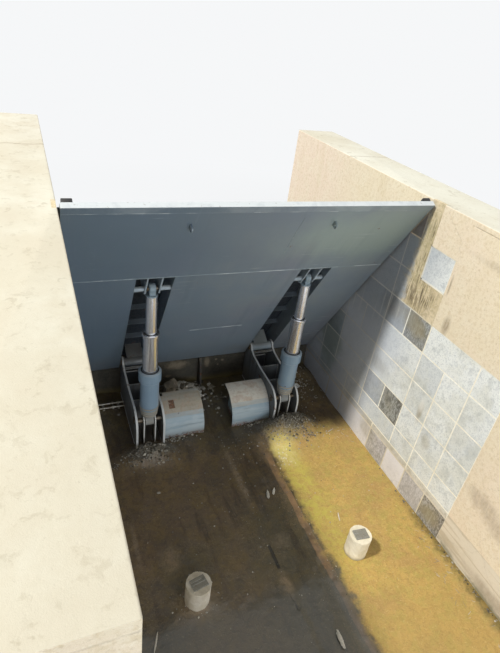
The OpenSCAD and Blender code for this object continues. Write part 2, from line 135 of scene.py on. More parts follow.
def addBolt(bm, place, size):  # washer, head and the end of the thread, out along z of place
    for start, length, radius, top, segments in ((0.0, 0.16, 1.05, 1.05, 18), (0.16, 0.62, 0.86, 0.80, 6),
                                                 (0.78, 0.34, 0.46, 0.40, 12)):
        addRod(bm, size * radius, size * length, place @ Matrix.Translation((0, 0, size * start)),
               segments=segments, topRadius=size * top)


def addBead(bm, start, end, radius, place, ripple=0.18):  # a weld bead, half sunk in its plate
    start, end = Vector(start), Vector(end)
    along = end - start
    part = bmesh.new()
    bmesh.ops.create_cone(part, cap_ends=True, segments=7, radius1=radius, radius2=radius, depth=along.length)
    upright = [e for e in part.edges if abs(e.verts[0].co.z - e.verts[1].co.z) > along.length / 2]
    bmesh.ops.subdivide_edges(part, edges=upright, cuts=max(2, int(along.length / (radius * 3.2))))
    for v in part.verts:
        swell = 1 + ripple * math.sin(v.co.z * 2.1 / radius) + 0.12 * noise.noise(v.co * 31)
        v.co.x *= swell
        v.co.y *= swell
    put(bm, part, place @ facingZ((start + end) / 2, along.normalized()))


def addRing(bm, profile, place, segments=48):  # a closed profile of (radius, height) spun about z of place
    part = bmesh.new()
    corners = [part.verts.new((radius, 0, height)) for radius, height in profile]
    rim = [part.edges.new((corners[i - 1], corners[i])) for i in range(len(corners))]
    bmesh.ops.spin(part, geom=corners + rim, cent=(0, 0, 0), axis=(0, 0, 1), angle=math.tau, steps=segments,
                   use_merge=True)
    bmesh.ops.recalc_face_normals(part, faces=part.faces)
    put(bm, part, place)


def copyOf(nodeName):  # a mesh of a CAD node in the part's frame
    cad = frame["nodes"][nodeName]
    mesh = cad.data.copy()
    mesh.transform(cad.matrix_world)
    return mesh


def roughCopy(nodeName, name, finishName, cell, depth, scale):  # weathered: only cut into, never swollen
    mesh = copyOf(nodeName)
    shape = bpy.data.objects.new("shape", mesh)
    bpy.context.scene.collection.objects.link(shape)
    remesh = shape.modifiers.new("remesh", "REMESH")
    remesh.mode = "VOXEL"
    remesh.voxel_size = cell
    dense = bpy.data.meshes.new_from_object(shape.evaluated_get(bpy.context.evaluated_depsgraph_get()))
    bpy.data.objects.remove(shape)
    bpy.data.meshes.remove(mesh)
    rough = bmesh.new()
    rough.from_mesh(dense)
    bpy.data.meshes.remove(dense)
    rough.normal_update()
    for v in rough.verts:
        bite = 0.45 + 0.75 * noise.fractal(v.co * scale, 0.8, 2.1, 5)
        v.co -= v.normal * depth * min(1.0, max(0.0, bite))
    newPiece(rough, name, "works", finishName, smoothAngle=50, replaces=(nodeName,))


# Shader helpers
class Field:  # a socket of a node tree, on which sums and products become Math nodes
    def __init__(self, socket):
        self.socket, self.tree = socket, socket.id_data

    def math(self, operation, *values):
        return Field(add(self.tree, "Math", {"operation": operation}, *values).outputs[0])

    def __add__(self, other):
        return self.math("ADD", self, other)

    def __sub__(self, other):
        return self.math("SUBTRACT", self, other)

    def __rsub__(self, other):
        return self.math("SUBTRACT", other, self)

    def __mul__(self, other):
        return self.math("MULTIPLY", self, other)

    def __abs__(self):
        return self.math("ABSOLUTE", self)


def feed(socket, value):
    if isinstance(value, Field):
        value.tree.links.new(value.socket, socket)
    else:
        socket.default_value = value


def add(tree, kind, settings=None, *values, **named):  # a node, its settings, and its inputs by place or by name
    made = tree.nodes.new("ShaderNode" + kind)
    for name, value in (settings or {}).items():
        setattr(made, name, value)
    for place, value in enumerate(values):
        feed(made.inputs[place], value)
    for name, value in named.items():
        feed(made.inputs[name.replace("_", " ")], value)
    return made


def highest(a, b):
    return a.math("MAXIMUM", a, b)


def clamped(value):
    value.socket.node.use_clamp = True
    return value


def vectorMath(operation, a, b=None, output=0):
    values = (a,) if b is None else (a, b)
    return Field(add(a.tree, "VectorMath", {"operation": operation}, *values).outputs[output])


def noiseAt(where, scale, detail, rough=0.5):
    return Field(add(where.tree, "TexNoise", Vector=where, Scale=scale, Detail=detail, Roughness=rough).outputs[0])


def warped(where, scale, detail, amount):  # coordinates bent by noise
    bend = Field(add(where.tree, "TexNoise", Vector=where, Scale=scale, Detail=detail).outputs["Color"])
    shift = add(where.tree, "VectorMath", {"operation": "SCALE"}, bend, Scale=amount)
    return vectorMath("ADD", where, Field(shift.outputs[0]))


def spread(value, low, high):  # 0 at low and 1 at high, with soft ends
    return Field(add(value.tree, "MapRange", {"interpolation_type": "SMOOTHSTEP"}, value, low, high).outputs[0])


def tone(colour):  # a colour as seen on screen, 0 to 255, made linear
    def linear(v):
        v /= 255
        return v / 12.92 if v <= 0.04045 else ((v + 0.055) / 1.055) ** 2.4
    return (*(linear(v) for v in colour), 1.0)


def blendColour(mask, a, b):  # a colour is a Field, three numbers as seen on screen or four linear ones
    a, b = (tone(c) if isinstance(c, tuple) and len(c) == 3 else c for c in (a, b))
    made = add(mask.tree, "Mix", {"data_type": "RGBA", "blend_type": "MIX", "clamp_factor": True}, mask)
    feed(made.inputs[6], a)
    feed(made.inputs[7], b)
    return Field(made.outputs[2])


def blendValue(mask, a, b):
    made = add(mask.tree, "Mix", {"data_type": "FLOAT", "clamp_factor": True}, mask)
    feed(made.inputs[2], a)
    feed(made.inputs[3], b)
    return Field(made.outputs[0])


def effectGroup(name, outputs, **inputs):  # a vector input where the value is a tuple, otherwise a number
    tree = bpy.data.node_groups.new(name, "ShaderNodeTree")
    for label, value in inputs.items():
        kind = "NodeSocketVector" if isinstance(value, tuple) else "NodeSocketFloat"
        tree.interface.new_socket(name=label, in_out="INPUT", socket_type=kind).default_value = value
    for label in outputs:
        tree.interface.new_socket(name=label, in_out="OUTPUT", socket_type="NodeSocketFloat")
    given = tree.nodes.new("NodeGroupInput").outputs
    return tree, tree.nodes.new("NodeGroupOutput").inputs, [Field(given[label]) for label in inputs]


def buildBlotches():  # soft or sharp patches: mask is 1 inside them
    tree, out, (vector, scale, low, high, warp) = effectGroup(
        "blotches", ["mask"], vector=(0, 0, 0), scale=3.0, low=0.45, high=0.6, warp=0.3)
    cloud = noiseAt(warped(vector, scale, 3.0, warp), scale, 6.0, 0.6)
    feed(out["mask"], spread(cloud, low, high))
    return tree


def buildRunMarks():  # streaks, long where stretch is small
    tree, out, (vector, stretch, scale, low, high) = effectGroup(
        "runMarks", ["mask"], vector=(0, 0, 0), stretch=(1, 1, 0.06), scale=9.0, low=0.5, high=0.7)
    fine = noiseAt(vectorMath("MULTIPLY", vector, stretch), scale, 5.0, 0.65)
    feed(out["mask"], spread(fine * (noiseAt(vector, 1.3, 2.0) + 0.5), low, high))
    return tree


def buildGrain():  # grains and pits for a Bump node's Height
    tree, out, (vector, scale, pits) = effectGroup(
        "grain", ["height", "speckle"], vector=(0, 0, 0), scale=200.0, pits=0.3)
    sand = noiseAt(vector, scale, 4.0, 0.7)
    holes = Field(add(tree, "TexVoronoi", Vector=vector, Scale=scale * 0.22).outputs["Distance"])
    feed(out["height"], sand + (spread(holes, 0.0, 0.28) - 1.0) * pits)
    feed(out["speckle"], spread(sand, 0.35, 0.68))
    return tree


def buildEdgeWear():  # 1 on worn outer edges
    tree, out, (vector, radius, amount, breakup) = effectGroup(
        "edgeWear", ["mask"], vector=(0, 0, 0), radius=0.004, amount=0.5, breakup=30.0)
    rounded = Field(add(tree, "Bevel", {"samples": 4}, Radius=radius).outputs[0])
    flat = Field(add(tree, "NewGeometry").outputs["True Normal"])
    corner = spread(vectorMath("DOT_PRODUCT", rounded, flat, "Value"), 0.97, 0.80)
    held = spread(noiseAt(vector, breakup, 4.0), 0.62, 0.42)
    feed(out["mask"], clamped(corner * blendValue(amount, held, 1.0) * amount))
    return tree


def buildSpot():  # 1 in the middle of an oval spot, broken up towards its rim
    tree, out, (vector, centre, size, breakup) = effectGroup(
        "spot", ["mask"], vector=(0, 0, 0), centre=(0, 0, 0), size=(1, 1, 1), breakup=8.0)
    scaled = vectorMath("DIVIDE", vectorMath("SUBTRACT", vector, centre), size)
    reach = vectorMath("LENGTH", scaled, output="Value")
    feed(out["mask"], spread(reach + noiseAt(vector, breakup, 5.0, 0.65) * 1.1, 1.55, 0.75))
    return tree


def buildHairCracks():  # 1 along thin wandering cracks
    tree, out, (vector, scale, width, amount) = effectGroup(
        "hairCracks", ["mask"], vector=(0, 0, 0), scale=1.2, width=0.006, amount=0.5)
    cells = add(tree, "TexVoronoi", {"feature": "DISTANCE_TO_EDGE"}, Vector=warped(vector, 5.0, 5.0, 0.22), Scale=scale)
    line = spread(Field(cells.outputs["Distance"]), width, 0.0)
    kept = spread(noiseAt(vector, 0.9, 2.0), 0.48, 0.58)
    feed(out["mask"], clamped(line * kept * amount))
    return tree


blotches, runMarks, grain = buildBlotches(), buildRunMarks(), buildGrain()
edgeWear, spot, hairCracks = buildEdgeWear(), buildSpot(), buildHairCracks()


def applied(group, where, output="mask", **inputs):
    return Field(add(where.tree, "Group", {"node_tree": group}, vector=where, **inputs).outputs[output])


def patches(where, scale, low, high, warp=0.3):
    return applied(blotches, where, scale=scale, low=low, high=high, warp=warp)


def runs(where, scale, low, high, stretch=(1.0, 1.0, 0.06)):
    return applied(runMarks, where, scale=scale, low=low, high=high, stretch=stretch)


def grains(where, scale, pits, output="height"):
    return applied(grain, where, output, scale=scale, pits=pits)


def worn(where, radius, amount):
    return applied(edgeWear, where, radius=radius, amount=amount)


def spotAt(where, x, distance, height, size, breakup=8.0):  # a spot on the works
    return applied(spot, where, centre=tuple(downstream(x, distance, height)), size=size, breakup=breakup)


def axes(where):
    return [Field(part) for part in add(where.tree, "SeparateXYZ", None, where).outputs]


def towards(where, direction, low=0.35, high=0.75):  # 1 on faces that look along direction
    normal = Field(add(where.tree, "TexCoord").outputs["Normal"])
    return spread(vectorMath("DOT_PRODUCT", normal, direction, "Value"), low, high)


def facingUp(where, low=0.35, high=0.9):
    return towards(where, (0, 0, 1), low, high)


def attribute(where, name):
    return Field(add(where.tree, "Attribute", {"attribute_name": name}).outputs["Fac"])


def boxMask(where, centre, half, soft):  # 1 inside a box
    mask = 1.0
    for value, reach in zip(axes(vectorMath("ABSOLUTE", vectorMath("SUBTRACT", where, centre))), half):
        mask = spread(value, reach + soft, reach - soft) * mask
    return mask


def over(colour, mask, paint, amount=1.0):  # lays paint on colour where mask says
    return blendColour(mask if amount == 1.0 else mask * amount, colour, paint)


def dappled(where, colour, *layers):  # patches laid one over another: scale, from, to, warp, paint, amount
    for scale, low, high, warp, paint, amount in layers:
        colour = over(colour, patches(where, scale, low, high, warp), paint, amount)
    return colour


class Coat:  # a material while it is painted, layer over layer
    def __init__(self, name, look=None, base=None, local=None):
        self.finish = bpy.data.materials.new(name)
        self.finish.use_nodes = True
        self.tree = self.finish.node_tree
        self.where = self.place = Field(add(self.tree, "TexCoord").outputs["Object"])
        if local:  # turned to the leaf's own axes
            self.where = Field(add(self.tree, "Mapping", {"vector_type": "TEXTURE"}, self.place,
                                   Location=local["at"], Rotation=(local["lean"], 0, 0)).outputs[0])
        self.look, self.normal = look, None
        self.colour = base or (look and look.get("base"))

    def lay(self, mask, paint, amount=1.0):  # a paint's name is looked up in the look
        self.colour = over(self.colour, mask, self.look[paint] if isinstance(paint, str) else paint, amount)

    def dapple(self, *layers):
        for *patch, paint, amount in layers:
            self.lay(patches(self.where, *patch), paint, amount)

    def bump(self, height, strength, distance):
        made = add(self.tree, "Bump", Height=height, Strength=strength, Distance=distance)
        if self.normal:
            feed(made.inputs["Normal"], self.normal)
        self.normal = Field(made.outputs[0])

    def done(self, **sockets):
        shader = self.tree.nodes["Principled BSDF"]
        if self.normal:
            sockets["Normal"] = self.normal
        for name, value in {"Base_Color": self.colour, **sockets}.items():
            feed(shader.inputs[name.replace("_", " ")], value)
        return self.finish


leafAxes = {"at": tuple(site["hinge"]), "lean": site["lean"]}  # x across, y deep, z up the slope


def behindLeaf(y, z):  # 1 upstream of the raised leaf
    slope = math.tan(site["lean"])
    start = hingeY + site["hinge"].z * slope + 0.19
    return spread(y + z * slope, start, start + 0.04)


def pondAt(z, wander):  # 1 where the pond has stood
    level = floorZ + site["pond"]
    return spread(z + wander * 0.04, level + 0.03, level - 0.03)


renderLook = {
    "base": (238, 225, 198), "pale": (244, 235, 214), "tan": (210, 190, 150), "grime": (136, 116, 92),
    "moss": (96, 94, 58), "pink": (243, 224, 210), "top": (221, 220, 206),
    "crack": (1.395, 0.0085),  # where a crack crosses the top, and its half width
    "stains": (  # downstream, height, size, amount
        (1.84, 1.86, (0.3, 0.06, 0.12), 0.7), (1.735, 2.18, (0.3, 0.016, 0.13), 0.6),
        (2.84, 0.76, (0.3, 0.26, 0.13), 0.42), (3.10, 0.66, (0.3, 0.30, 0.10), 0.3),
        (2.20, 2.50, (0.3, 0.5, 0.05), 0.25), (3.30, 0.12, (0.3, 0.50, 0.08), 0.45)),
}


def pierFinish():  # sand and cement render, weathered, with painted shade beside the leaf's top corner
    coat = Coat("pierRender", renderLook)
    look, where = coat.look, coat.where
    x, y, z = axes(where)
    wide, up = abs(x), facingUp(where)
    broad, small = patches(where, 0.9, 0.38, 0.66), patches(where, 5.0, 0.42, 0.64)
    coat.lay(broad, "pink", 0.4)
    coat.lay(spread(y, hingeY - 0.4, hingeY + 0.5), "pink", 0.6)
    coat.lay(small, "pale", 0.4)
    coat.lay(grains(where, 260.0, 0.5, "speckle"), "tan", 0.30)
    coat.dapple((34.0, 0.46, 0.66, 0.03, "tan", 0.42), (74.0, 0.54, 0.66, 0.02, (186, 168, 134), 0.30),
                (52.0, 0.56, 0.68, 0.03, (250, 242, 224), 0.35))
    top = spread(z, site["top"] - 0.9, site["top"])
    coat.lay(runs(where, 11.0, 0.50, 0.74) * blendValue(top, 0.10, 0.22), "tan")
    line = spread(abs(z - (site["top"] - 0.045)), 0.006, 0.002) * spread(y, hingeY - 1.7, hingeY - 1.8)
    line = line * patches(where, 3.0, 0.42, 0.56)
    coat.lay(line, "grime", 0.30)
    skirt = spread(z, floorZ + 0.364, floorZ + 0.352) * spread(wide, site["outer"] - 0.02, site["outer"] - 0.03)
    level = patches(vectorMath("MULTIPLY", where, (1.0, 0.05, 1.0)), 26.0, 0.52, 0.60, 0.02)
    coat.lay(skirt, over((222, 214, 198), level, (172, 158, 130), 0.6), 0.70)
    damp = spread(z, floorZ + 0.30, floorZ + 0.02) * blendValue(small, 0.35, 1.0)
    coat.lay(damp, (150, 138, 116), 0.4)
    coat.lay(spread(z, floorZ + 0.12, floorZ + 0.01) * small, "moss", 0.6)
    for distance, height, size, amount in look["stains"]:
        fine = runs(where, 42.0, 0.36, 0.60, (1.0, 1.0, 0.22))
        coat.lay(spotAt(where, faceX, distance, height, size, 5.0) * blendValue(fine, 0.62, 1.0), "grime", amount)
    # a dark blue-grey patch beside the leaf's top corner: painted shade, standing for slabs in the leaf's shade
    cornerShade = boxMask(where, downstream(faceX, 1.10, 2.56), (5.0, 0.155, 0.17), 0.004)
    slope = math.tan(site["lean"])
    limit = hingeY + site["hinge"].z * slope
    cornerShade = cornerShade * spread(wide, faceX + 0.02, faceX + 0.01) * spread(y + z * slope, limit + 0.02, limit - 0.01)
    coat.lay(cornerShade, over((120, 122, 130), small, (96, 94, 98)), 0.85)
    outside = spread(wide, site["outer"] - 0.03, site["outer"] - 0.02)
    drift = spread(y + noiseAt(where, 2.2, 6.0, 0.65) * 1.2, site["up"] - 0.1, site["up"] + 0.7)
    coat.lay(pondAt(z, small) * blendValue(outside, behindLeaf(y, z), drift), (112, 110, 84), 0.6)
    lichen = patches(where, 17.0, 0.54, 0.66, 0.1)
    washed = over(look["top"], broad, (196, 188, 164), 0.7)
    washed = over(washed, small * lichen, (158, 150, 126), 0.55)
    washed = dappled(where, washed, (60.0, 0.64, 0.70, 0.02, (140, 132, 112), 0.4))
    leftSide = spread(x, 0.1, -0.1) * blendValue(patches(where, 2.6, 0.42, 0.60, 0.15), 0.35, 0.85)
    washed = over(washed, leftSide, over((203, 196, 176), lichen, (172, 162, 138), 0.5))
    coat.lay(up, washed, 0.9)
    crackY, crackHalf = look["crack"]
    across = abs(y + noiseAt(where, 6.0, 4.0) * 0.09 - (crackY + 0.045))
    cracks = applied(hairCracks, where, scale=0.7, width=0.0022, amount=0.25) * (1.0 - up)
    cracks = highest(cracks, spread(across, crackHalf, 0.0) * up)
    coat.lay(cracks, "grime", 0.8)
    coat.bump(noiseAt(where, 9.0, 5.0), 0.35, 0.010)
    coat.bump(grains(where, 260.0, 0.5), 0.45, 0.0016)
    coat.bump((cracks + line * 0.6) * -1.0, 0.8, 0.004)
    return coat.done(Roughness=blendValue(damp, 0.92, 0.62))


smearLook = {  # where stained render runs over the upper slabs
    "plaster": (226, 210, 178), "olive": (150, 142, 104), "brown": (104, 90, 68),
    "stains": (  # downstream, height, size, amount
        (1.50, 1.95, (0.3, 0.20, 0.24), 0.95), (1.36, 2.14, (0.3, 0.14, 0.40), 0.75),
        (1.26, 1.90, (0.3, 0.18, 0.20), 0.7), (1.40, 2.50, (0.3, 0.10, 0.20), 0.7)),
}


def smearAt(where):  # its mask and its colour
    look = smearLook
    _, y, z = axes(where)
    ragged = noiseAt(where, 7.0, 8.0, 0.75) - 0.5
    mask = spread(y + ragged * 0.30, hingeY - 1.20, hingeY - 1.30)
    mask = mask * spread(z + ragged * 0.05, floorZ + 1.750, floorZ + 1.775)
    plaster = dappled(where, look["plaster"], (5.0, 0.40, 0.62, 0.3, (204, 188, 150), 0.8),
                      (34.0, 0.46, 0.62, 0.04, (188, 172, 136), 0.6), (60.0, 0.56, 0.66, 0.03, (244, 236, 212), 0.5))
    strokes = runs(where, 62.0, 0.44, 0.62, (1.0, 1.0, 0.13))
    thin = runs(where, 30.0, 0.50, 0.66, (1.0, 1.0, 0.05)) * 0.7
    olive = spotAt(where, faceX, 1.34, 2.34, (0.3, 0.22, 0.56), 5.0)
    plaster = over(plaster, olive * blendValue(strokes, 0.45, 1.0), look["olive"], 0.75)
    for distance, height, size, amount in look["stains"]:
        stain = spotAt(where, faceX, distance, height, size, 6.0) * highest(strokes, thin)
        plaster = over(plaster, stain, look["brown"], amount)
    return mask, plaster


slabLook = {
    "pale": (240, 243, 240), "slate": (186, 192, 196), "cloud": (244, 244, 236), "brown": (138, 122, 96),
    # wet and the blue tones laid beside the leaf are painted shade, partly damp stone
    "olive": (160, 152, 120), "wet": (124, 135, 154), "green": (74, 96, 74), "pink": (236, 230, 232),
    "pond": (112, 110, 84),
    "stains": (  # downstream, height, size, amount
        (1.50, 1.66, (0.3, 0.24, 0.14), 0.8), (1.16, 1.66, (0.3, 0.22, 0.20), 0.7),
        (1.22, 1.00, (0.3, 0.20, 0.12), 0.6), (1.92, 0.94, (0.3, 0.05, 0.16), 0.5),
        (2.42, 0.15, (0.3, 0.18, 0.14), 0.9), (2.10, 0.74, (0.3, 0.08, 0.10), 0.5),
        (1.35, 0.22, (0.3, 0.20, 0.16), 0.5)),
}


def slabFinish():  # sawn slabs, each with a tone of its own, stained where water comes past the leaf, with painted shade beside it
    coat = Coat("facingSlabs", slabLook)
    look, where = coat.look, coat.where
    _, y, z = axes(where)
    shade, clean = attribute(where, "slabTone"), attribute(where, "slabClean")
    cloud, mottle = patches(where, 4.5, 0.36, 0.68), patches(where, 22.0, 0.48, 0.66, 0.08)
    fleck = patches(where, 70.0, 0.50, 0.62, 0.03)
    coat.colour = blendColour(shade, look["slate"], look["pale"])
    coat.lay(cloud, "cloud", 0.35)
    coat.lay(mottle, "slate", 0.38)
    coat.lay(fleck, (162, 169, 173), 0.42)
    coat.dapple((105.0, 0.58, 0.66, 0.02, (244, 244, 238), 0.45))
    rubbed = runs(where, 24.0, 0.52, 0.66, (1.0, 0.35, 0.35))
    coat.lay(rubbed, (150, 156, 156), 0.30)
    coat.dapple((2.2, 0.48, 0.62, 0.3, (208, 207, 190), 0.30))
    coat.lay(spread(z, floorZ + 0.34, floorZ + 0.27), "pink", 0.70)
    strip = spread(abs(z - (floorZ + 0.326)), 0.034, 0.030) * blendValue(mottle, 0.6, 1.0)
    coat.lay(strip, (190, 178, 150), 0.75)
    dirty = spread(shade, 0.06, 0.0) * (1.0 - clean)
    coat.lay(dirty * blendValue(cloud, 0.5, 1.0), (140, 134, 116), 0.8)
    coat.lay(dirty * runs(where, 130.0, 0.42, 0.60, (1.0, 0.8, 0.22)), (82, 77, 64), 0.8)
    coat.lay(dirty * mottle, (84, 82, 72), 0.6)
    streaks = runs(where, 48.0, 0.38, 0.60, (1.0, 1.0, 0.14))
    for distance, height, size, amount in look["stains"]:
        stain = spotAt(where, faceX, distance, height, size, 7.0) * (1.0 - clean)
        coat.lay(stain, "olive", amount * 0.8)
        coat.lay(stain * (streaks * cloud), "brown", amount)
    grime = spread(z, floorZ + 0.26, floorZ + 0.01) * blendValue(mottle, 0.4, 1.0)
    coat.lay(grime, (160, 154, 144), 0.36)
    line = y + z * 0.30  # darker, bluer slabs beside the leaf: painted shade, partly damp stone
    behind = behindLeaf(y, z)
    ahead = 1.0 - behind
    near = spread(line, hingeY - 1.10, hingeY - 0.35) * ahead
    # painted shade beside the leaf, partly damp stone
    coat.lay(near, "wet", 0.72)
    coat.lay(pondAt(z, mottle) * behind, "pond", 0.6)
    # a blue cast on the upper slabs beside the leaf: painted shade lit by the sky
    cool = spread(line, hingeY - 1.25, hingeY - 0.80) * ahead * spread(z, floorZ + 1.7, floorZ + 1.2)
    coat.lay(cool, over((186, 195, 212), shade, (212, 219, 231)), 0.45)
    # pale blue flecks in the same zone, part of the painted shade
    coat.lay(near * (fleck * rubbed), (176, 184, 196), 0.4)
    coat.lay(spotAt(where, faceX, 0.34, 0.75, (0.3, 0.36, 0.60), 5.0), "green", 0.55)
    coat.lay(spotAt(where, faceX, 1.91, 1.03, (0.3, 0.04, 0.12), 16.0), (232, 230, 222), 0.7)
    coat.lay(runs(where, 26.0, 0.60, 0.76), (228, 226, 220), 0.30)
    mask, plaster = smearAt(where)
    mask = mask * (1.0 - clean)
    coat.lay(mask, plaster)
    rough = highest(blendValue(near, 0.78, 0.5), mask)
    coat.bump(cloud, 0.18, 0.003)
    coat.bump(grains(where, 340.0, 0.35), 0.35, 0.0010)
    return coat.done(Roughness=blendValue(cloud, rough, 0.7))


def mortarFinish():
    coat = Coat("jointMortar")
    where = coat.where
    _, y, z = axes(where)
    patch = patches(where, 6.0, 0.4, 0.62)
    coat.colour = blendColour(patch, (255, 252, 240), (246, 240, 220))
    # joints beside the leaf darker and bluer: painted shade, as on the slabs
    coat.lay(spread(y + z * 0.30, hingeY - 1.10, hingeY - 0.35), (166, 170, 180), 0.75)
    coat.lay(pondAt(z, patch) * behindLeaf(y, z), (96, 92, 70), 0.6)
    coat.dapple((14.0, 0.50, 0.60, 0.3, (212, 208, 192), 0.35))
    coat.lay(spread(z, floorZ + 0.34, floorZ + 0.28), (184, 166, 130), 0.5)
    mask, plaster = smearAt(where)
    beside = boxMask(where, downstream(faceX, 1.555, 2.226), (0.3, 0.160, 0.164), 0.002)
    coat.lay(mask * (1.0 - beside), plaster)
    coat.bump(grains(where, 300.0, 0.6), 0.5, 0.0015)
    return coat.done(Roughness=0.93)


floorLook = {
    "silt": (112, 92, 68), "dark": (78, 68, 54), "gold": (132, 110, 64), "algae": (192, 158, 86),
    "lime": (186, 172, 80), "ochre": (172, 138, 82), "pale": (222, 208, 168), "pool": (84, 85, 79),
    "gravel": (126, 124, 114), "stone": (72, 68, 58), "dustTone": (164, 144, 118),
    "edge": 0.44,  # where the algae starts, across the bay, on the left pier's shadow line
    "near": 1.07,  # and how far downstream, on the leaf's shadow line
    "poolFrom": 2.585,  # distance downstream where the shallow pool starts
    "cracks": ((-0.02, 2.62, 2.80, 0.005), (-0.025, 2.20, 2.44, 0.0165)),  # across, from, to, half width
    "dust": (  # across, downstream, half widths, amount
        (-0.86, 2.10, (0.12, 0.18), 0.45), (-0.02, 2.58, (0.07, 0.16), 0.6), (-0.02, 1.40, (0.05, 0.55), 0.45),
        (-0.75, 2.50, (0.26, 0.20), 0.45), (0.10, 2.20, (0.12, 0.10), 0.25), (-1.10, 1.90, (0.03, 0.30), 0.4)),
}


def floorAlgae(where, x, y, ragged, small, fine, limeAt):
    look = floorLook
    algae = dappled(where, look["algae"], (2.4, 0.44, 0.60, 0.1, look["ochre"], 0.8))
    algae = over(over(algae, small, (176, 154, 84), 0.5), fine, (158, 124, 66), 0.45)
    algae = dappled(where, algae, (45.0, 0.50, 0.66, 0.05, (206, 176, 110), 0.35),
                    (13.0, 0.50, 0.60, 0.1, (168, 156, 78), 0.40), (62.0, 0.54, 0.64, 0.04, (138, 112, 58), 0.50),
                    (95.0, 0.60, 0.68, 0.03, (226, 208, 150), 0.50))
    limed = limeAt * blendValue(patches(where, 11.0, 0.42, 0.56, 0.2), 0.35, 1.0)
    algae = over(algae, limed * blendValue(fine, 1.0, 0.4), look["lime"], 0.9)
    algae = over(algae, spread(y, hingeY - 2.5, hingeY - 3.4), (158, 132, 78), 0.40)
    chalky = spotAt(where, 0.56, 1.26, 0.0, (0.24, 0.26, 1.0), 7.0)
    algae = over(algae, chalky * blendValue(fine, 0.3, 1.0), (228, 218, 150), 0.7)
    wall = spread(x + ragged * 0.20, 1.37, 1.46) * spread(y, hingeY - 1.7, hingeY - 2.7)
    return over(algae, wall * blendValue(fine, 0.6, 1.0), (94, 84, 42), 0.85)


def floorCracks(where, x, y, ragged):
    held, cracks = patches(where, 5.0, 0.44, 0.52), 0.0
    for across, start, end, half in floorLook["cracks"]:
        thin = half < 0.01  # a crack wanders and breaks off, a slot does not
        line = spread(abs((x + ragged * 0.12 if thin else x) - across), half, half * 0.6)
        long = (end - start) / 2
        line = line * spread(abs(y - (hingeY - (start + end) / 2)), long, long - 0.02)
        cracks = highest(line * held if thin else line, cracks)
    return cracks


def floorFinish():  # wet silt on concrete, with algae over its right side; the step from dark silt to bright algae along the shadow lines is partly painted light and shade
    coat = Coat("wetFloor", floorLook)
    look, where = coat.look, coat.where
    x, y, _ = axes(where)
    broad, small = patches(where, 1.3, 0.38, 0.62), patches(where, 6.0, 0.42, 0.62)
    fine = patches(where, 22.0, 0.42, 0.66, 0.1)
    ragged = noiseAt(where, 5.0, 6.0, 0.65) - 0.5
    edge = x + ragged * 0.07
    right = spread(x + ragged * 0.34, look["edge"] - 0.05, look["edge"] + 0.04)
    start = hingeY - look["near"]
    # the algae's edges follow the shadow lines: the dark silt outside them is partly painted shade, the bright algae
    # inside partly painted light
    algaeLitSide = right * spread(y + ragged * 0.30, start + 0.20, start - 0.06)
    coat.colour = blendColour(broad, look["silt"], look["dark"])
    coat.lay(small, "gold", 0.35)
    coat.lay(fine, "dark", 0.60)
    coat.dapple((45.0, 0.50, 0.62, 0.05, "gold", 0.35), (0.55, 0.42, 0.62, 0.3, (90, 84, 60), 0.5))
    coat.lay(runs(where, 9.0, 0.50, 0.66, (1.0, 0.16, 1.0)), (52, 42, 32), 0.55)
    coat.lay(patches(where, 3.2, 0.50, 0.60, 0.4) * patches(where, 30.0, 0.50, 0.60), (148, 128, 98), 0.40)
    for cx, cy, (wide, long), amount in look["dust"]:
        dust = spotAt(where, cx, cy, 0.0, (wide, long, 1.0), 16.0)
        coat.lay(dust * blendValue(fine, 1.0, 0.4), "dustTone", amount)
    strip = spread(abs(edge - (look["edge"] - 0.060)), 0.034, 0.026) * blendValue(small, 0.5, 1.0)
    coat.lay(strip * spread(y, hingeY - 1.15, hingeY - 1.35), (158, 124, 88), 0.75)
    # a thin dark line between the ridge and the algae: painted shadow of the ridge
    coat.lay(spread(abs(edge - (look["edge"] - 0.016)), 0.014, 0.006) * small, (58, 46, 34), 0.5)
    pool = spread(y + ragged * 0.30, hingeY - look["poolFrom"] + 0.06, hingeY - look["poolFrom"] - 0.10)
    coat.lay(pool, "pool", 0.6)
    limeAt = spotAt(where, 0.58, 1.70, 0.0, (0.22, 1.40, 1.0), 5.0)
    coat.lay(algaeLitSide, floorAlgae(where, x, y, ragged, small, fine, limeAt))
    coat.lay(patches(where, 80.0, 0.62, 0.70, 0.02) * blendValue(limeAt, 0.30, 0.8), "pale", 0.65)
    pebbled = blendColour(patches(where, 58.0, 0.47, 0.53, 0.02), look["stone"], look["gravel"])
    for cx, cy, top, wide, long in siltLook["heaps"]:
        if top > 0.08 and cx < 1.0:
            coat.lay(spotAt(where, cx, cy, top, (wide * 1.2, long * 1.2, 1.0), 9.0), pebbled, 0.85)
    cracks = floorCracks(where, x, y, ragged)
    coat.lay(cracks, (34, 30, 24), 0.8)
    wet = highest(blendValue(small, 1.0, 0.5) * blendValue(right, 1.0, 0.45), pool * (1.0 - right))
    coat.bump(fine, 0.35, 0.006)
    coat.bump(grains(where, 150.0, 0.3), 0.5, 0.0030)
    coat.bump(cracks * -1.0, 0.9, 0.008)
    return coat.done(Roughness=blendValue(wet, 0.85, 0.40), Coat_Weight=clamped(wet * 0.5), Coat_Roughness=0.10)


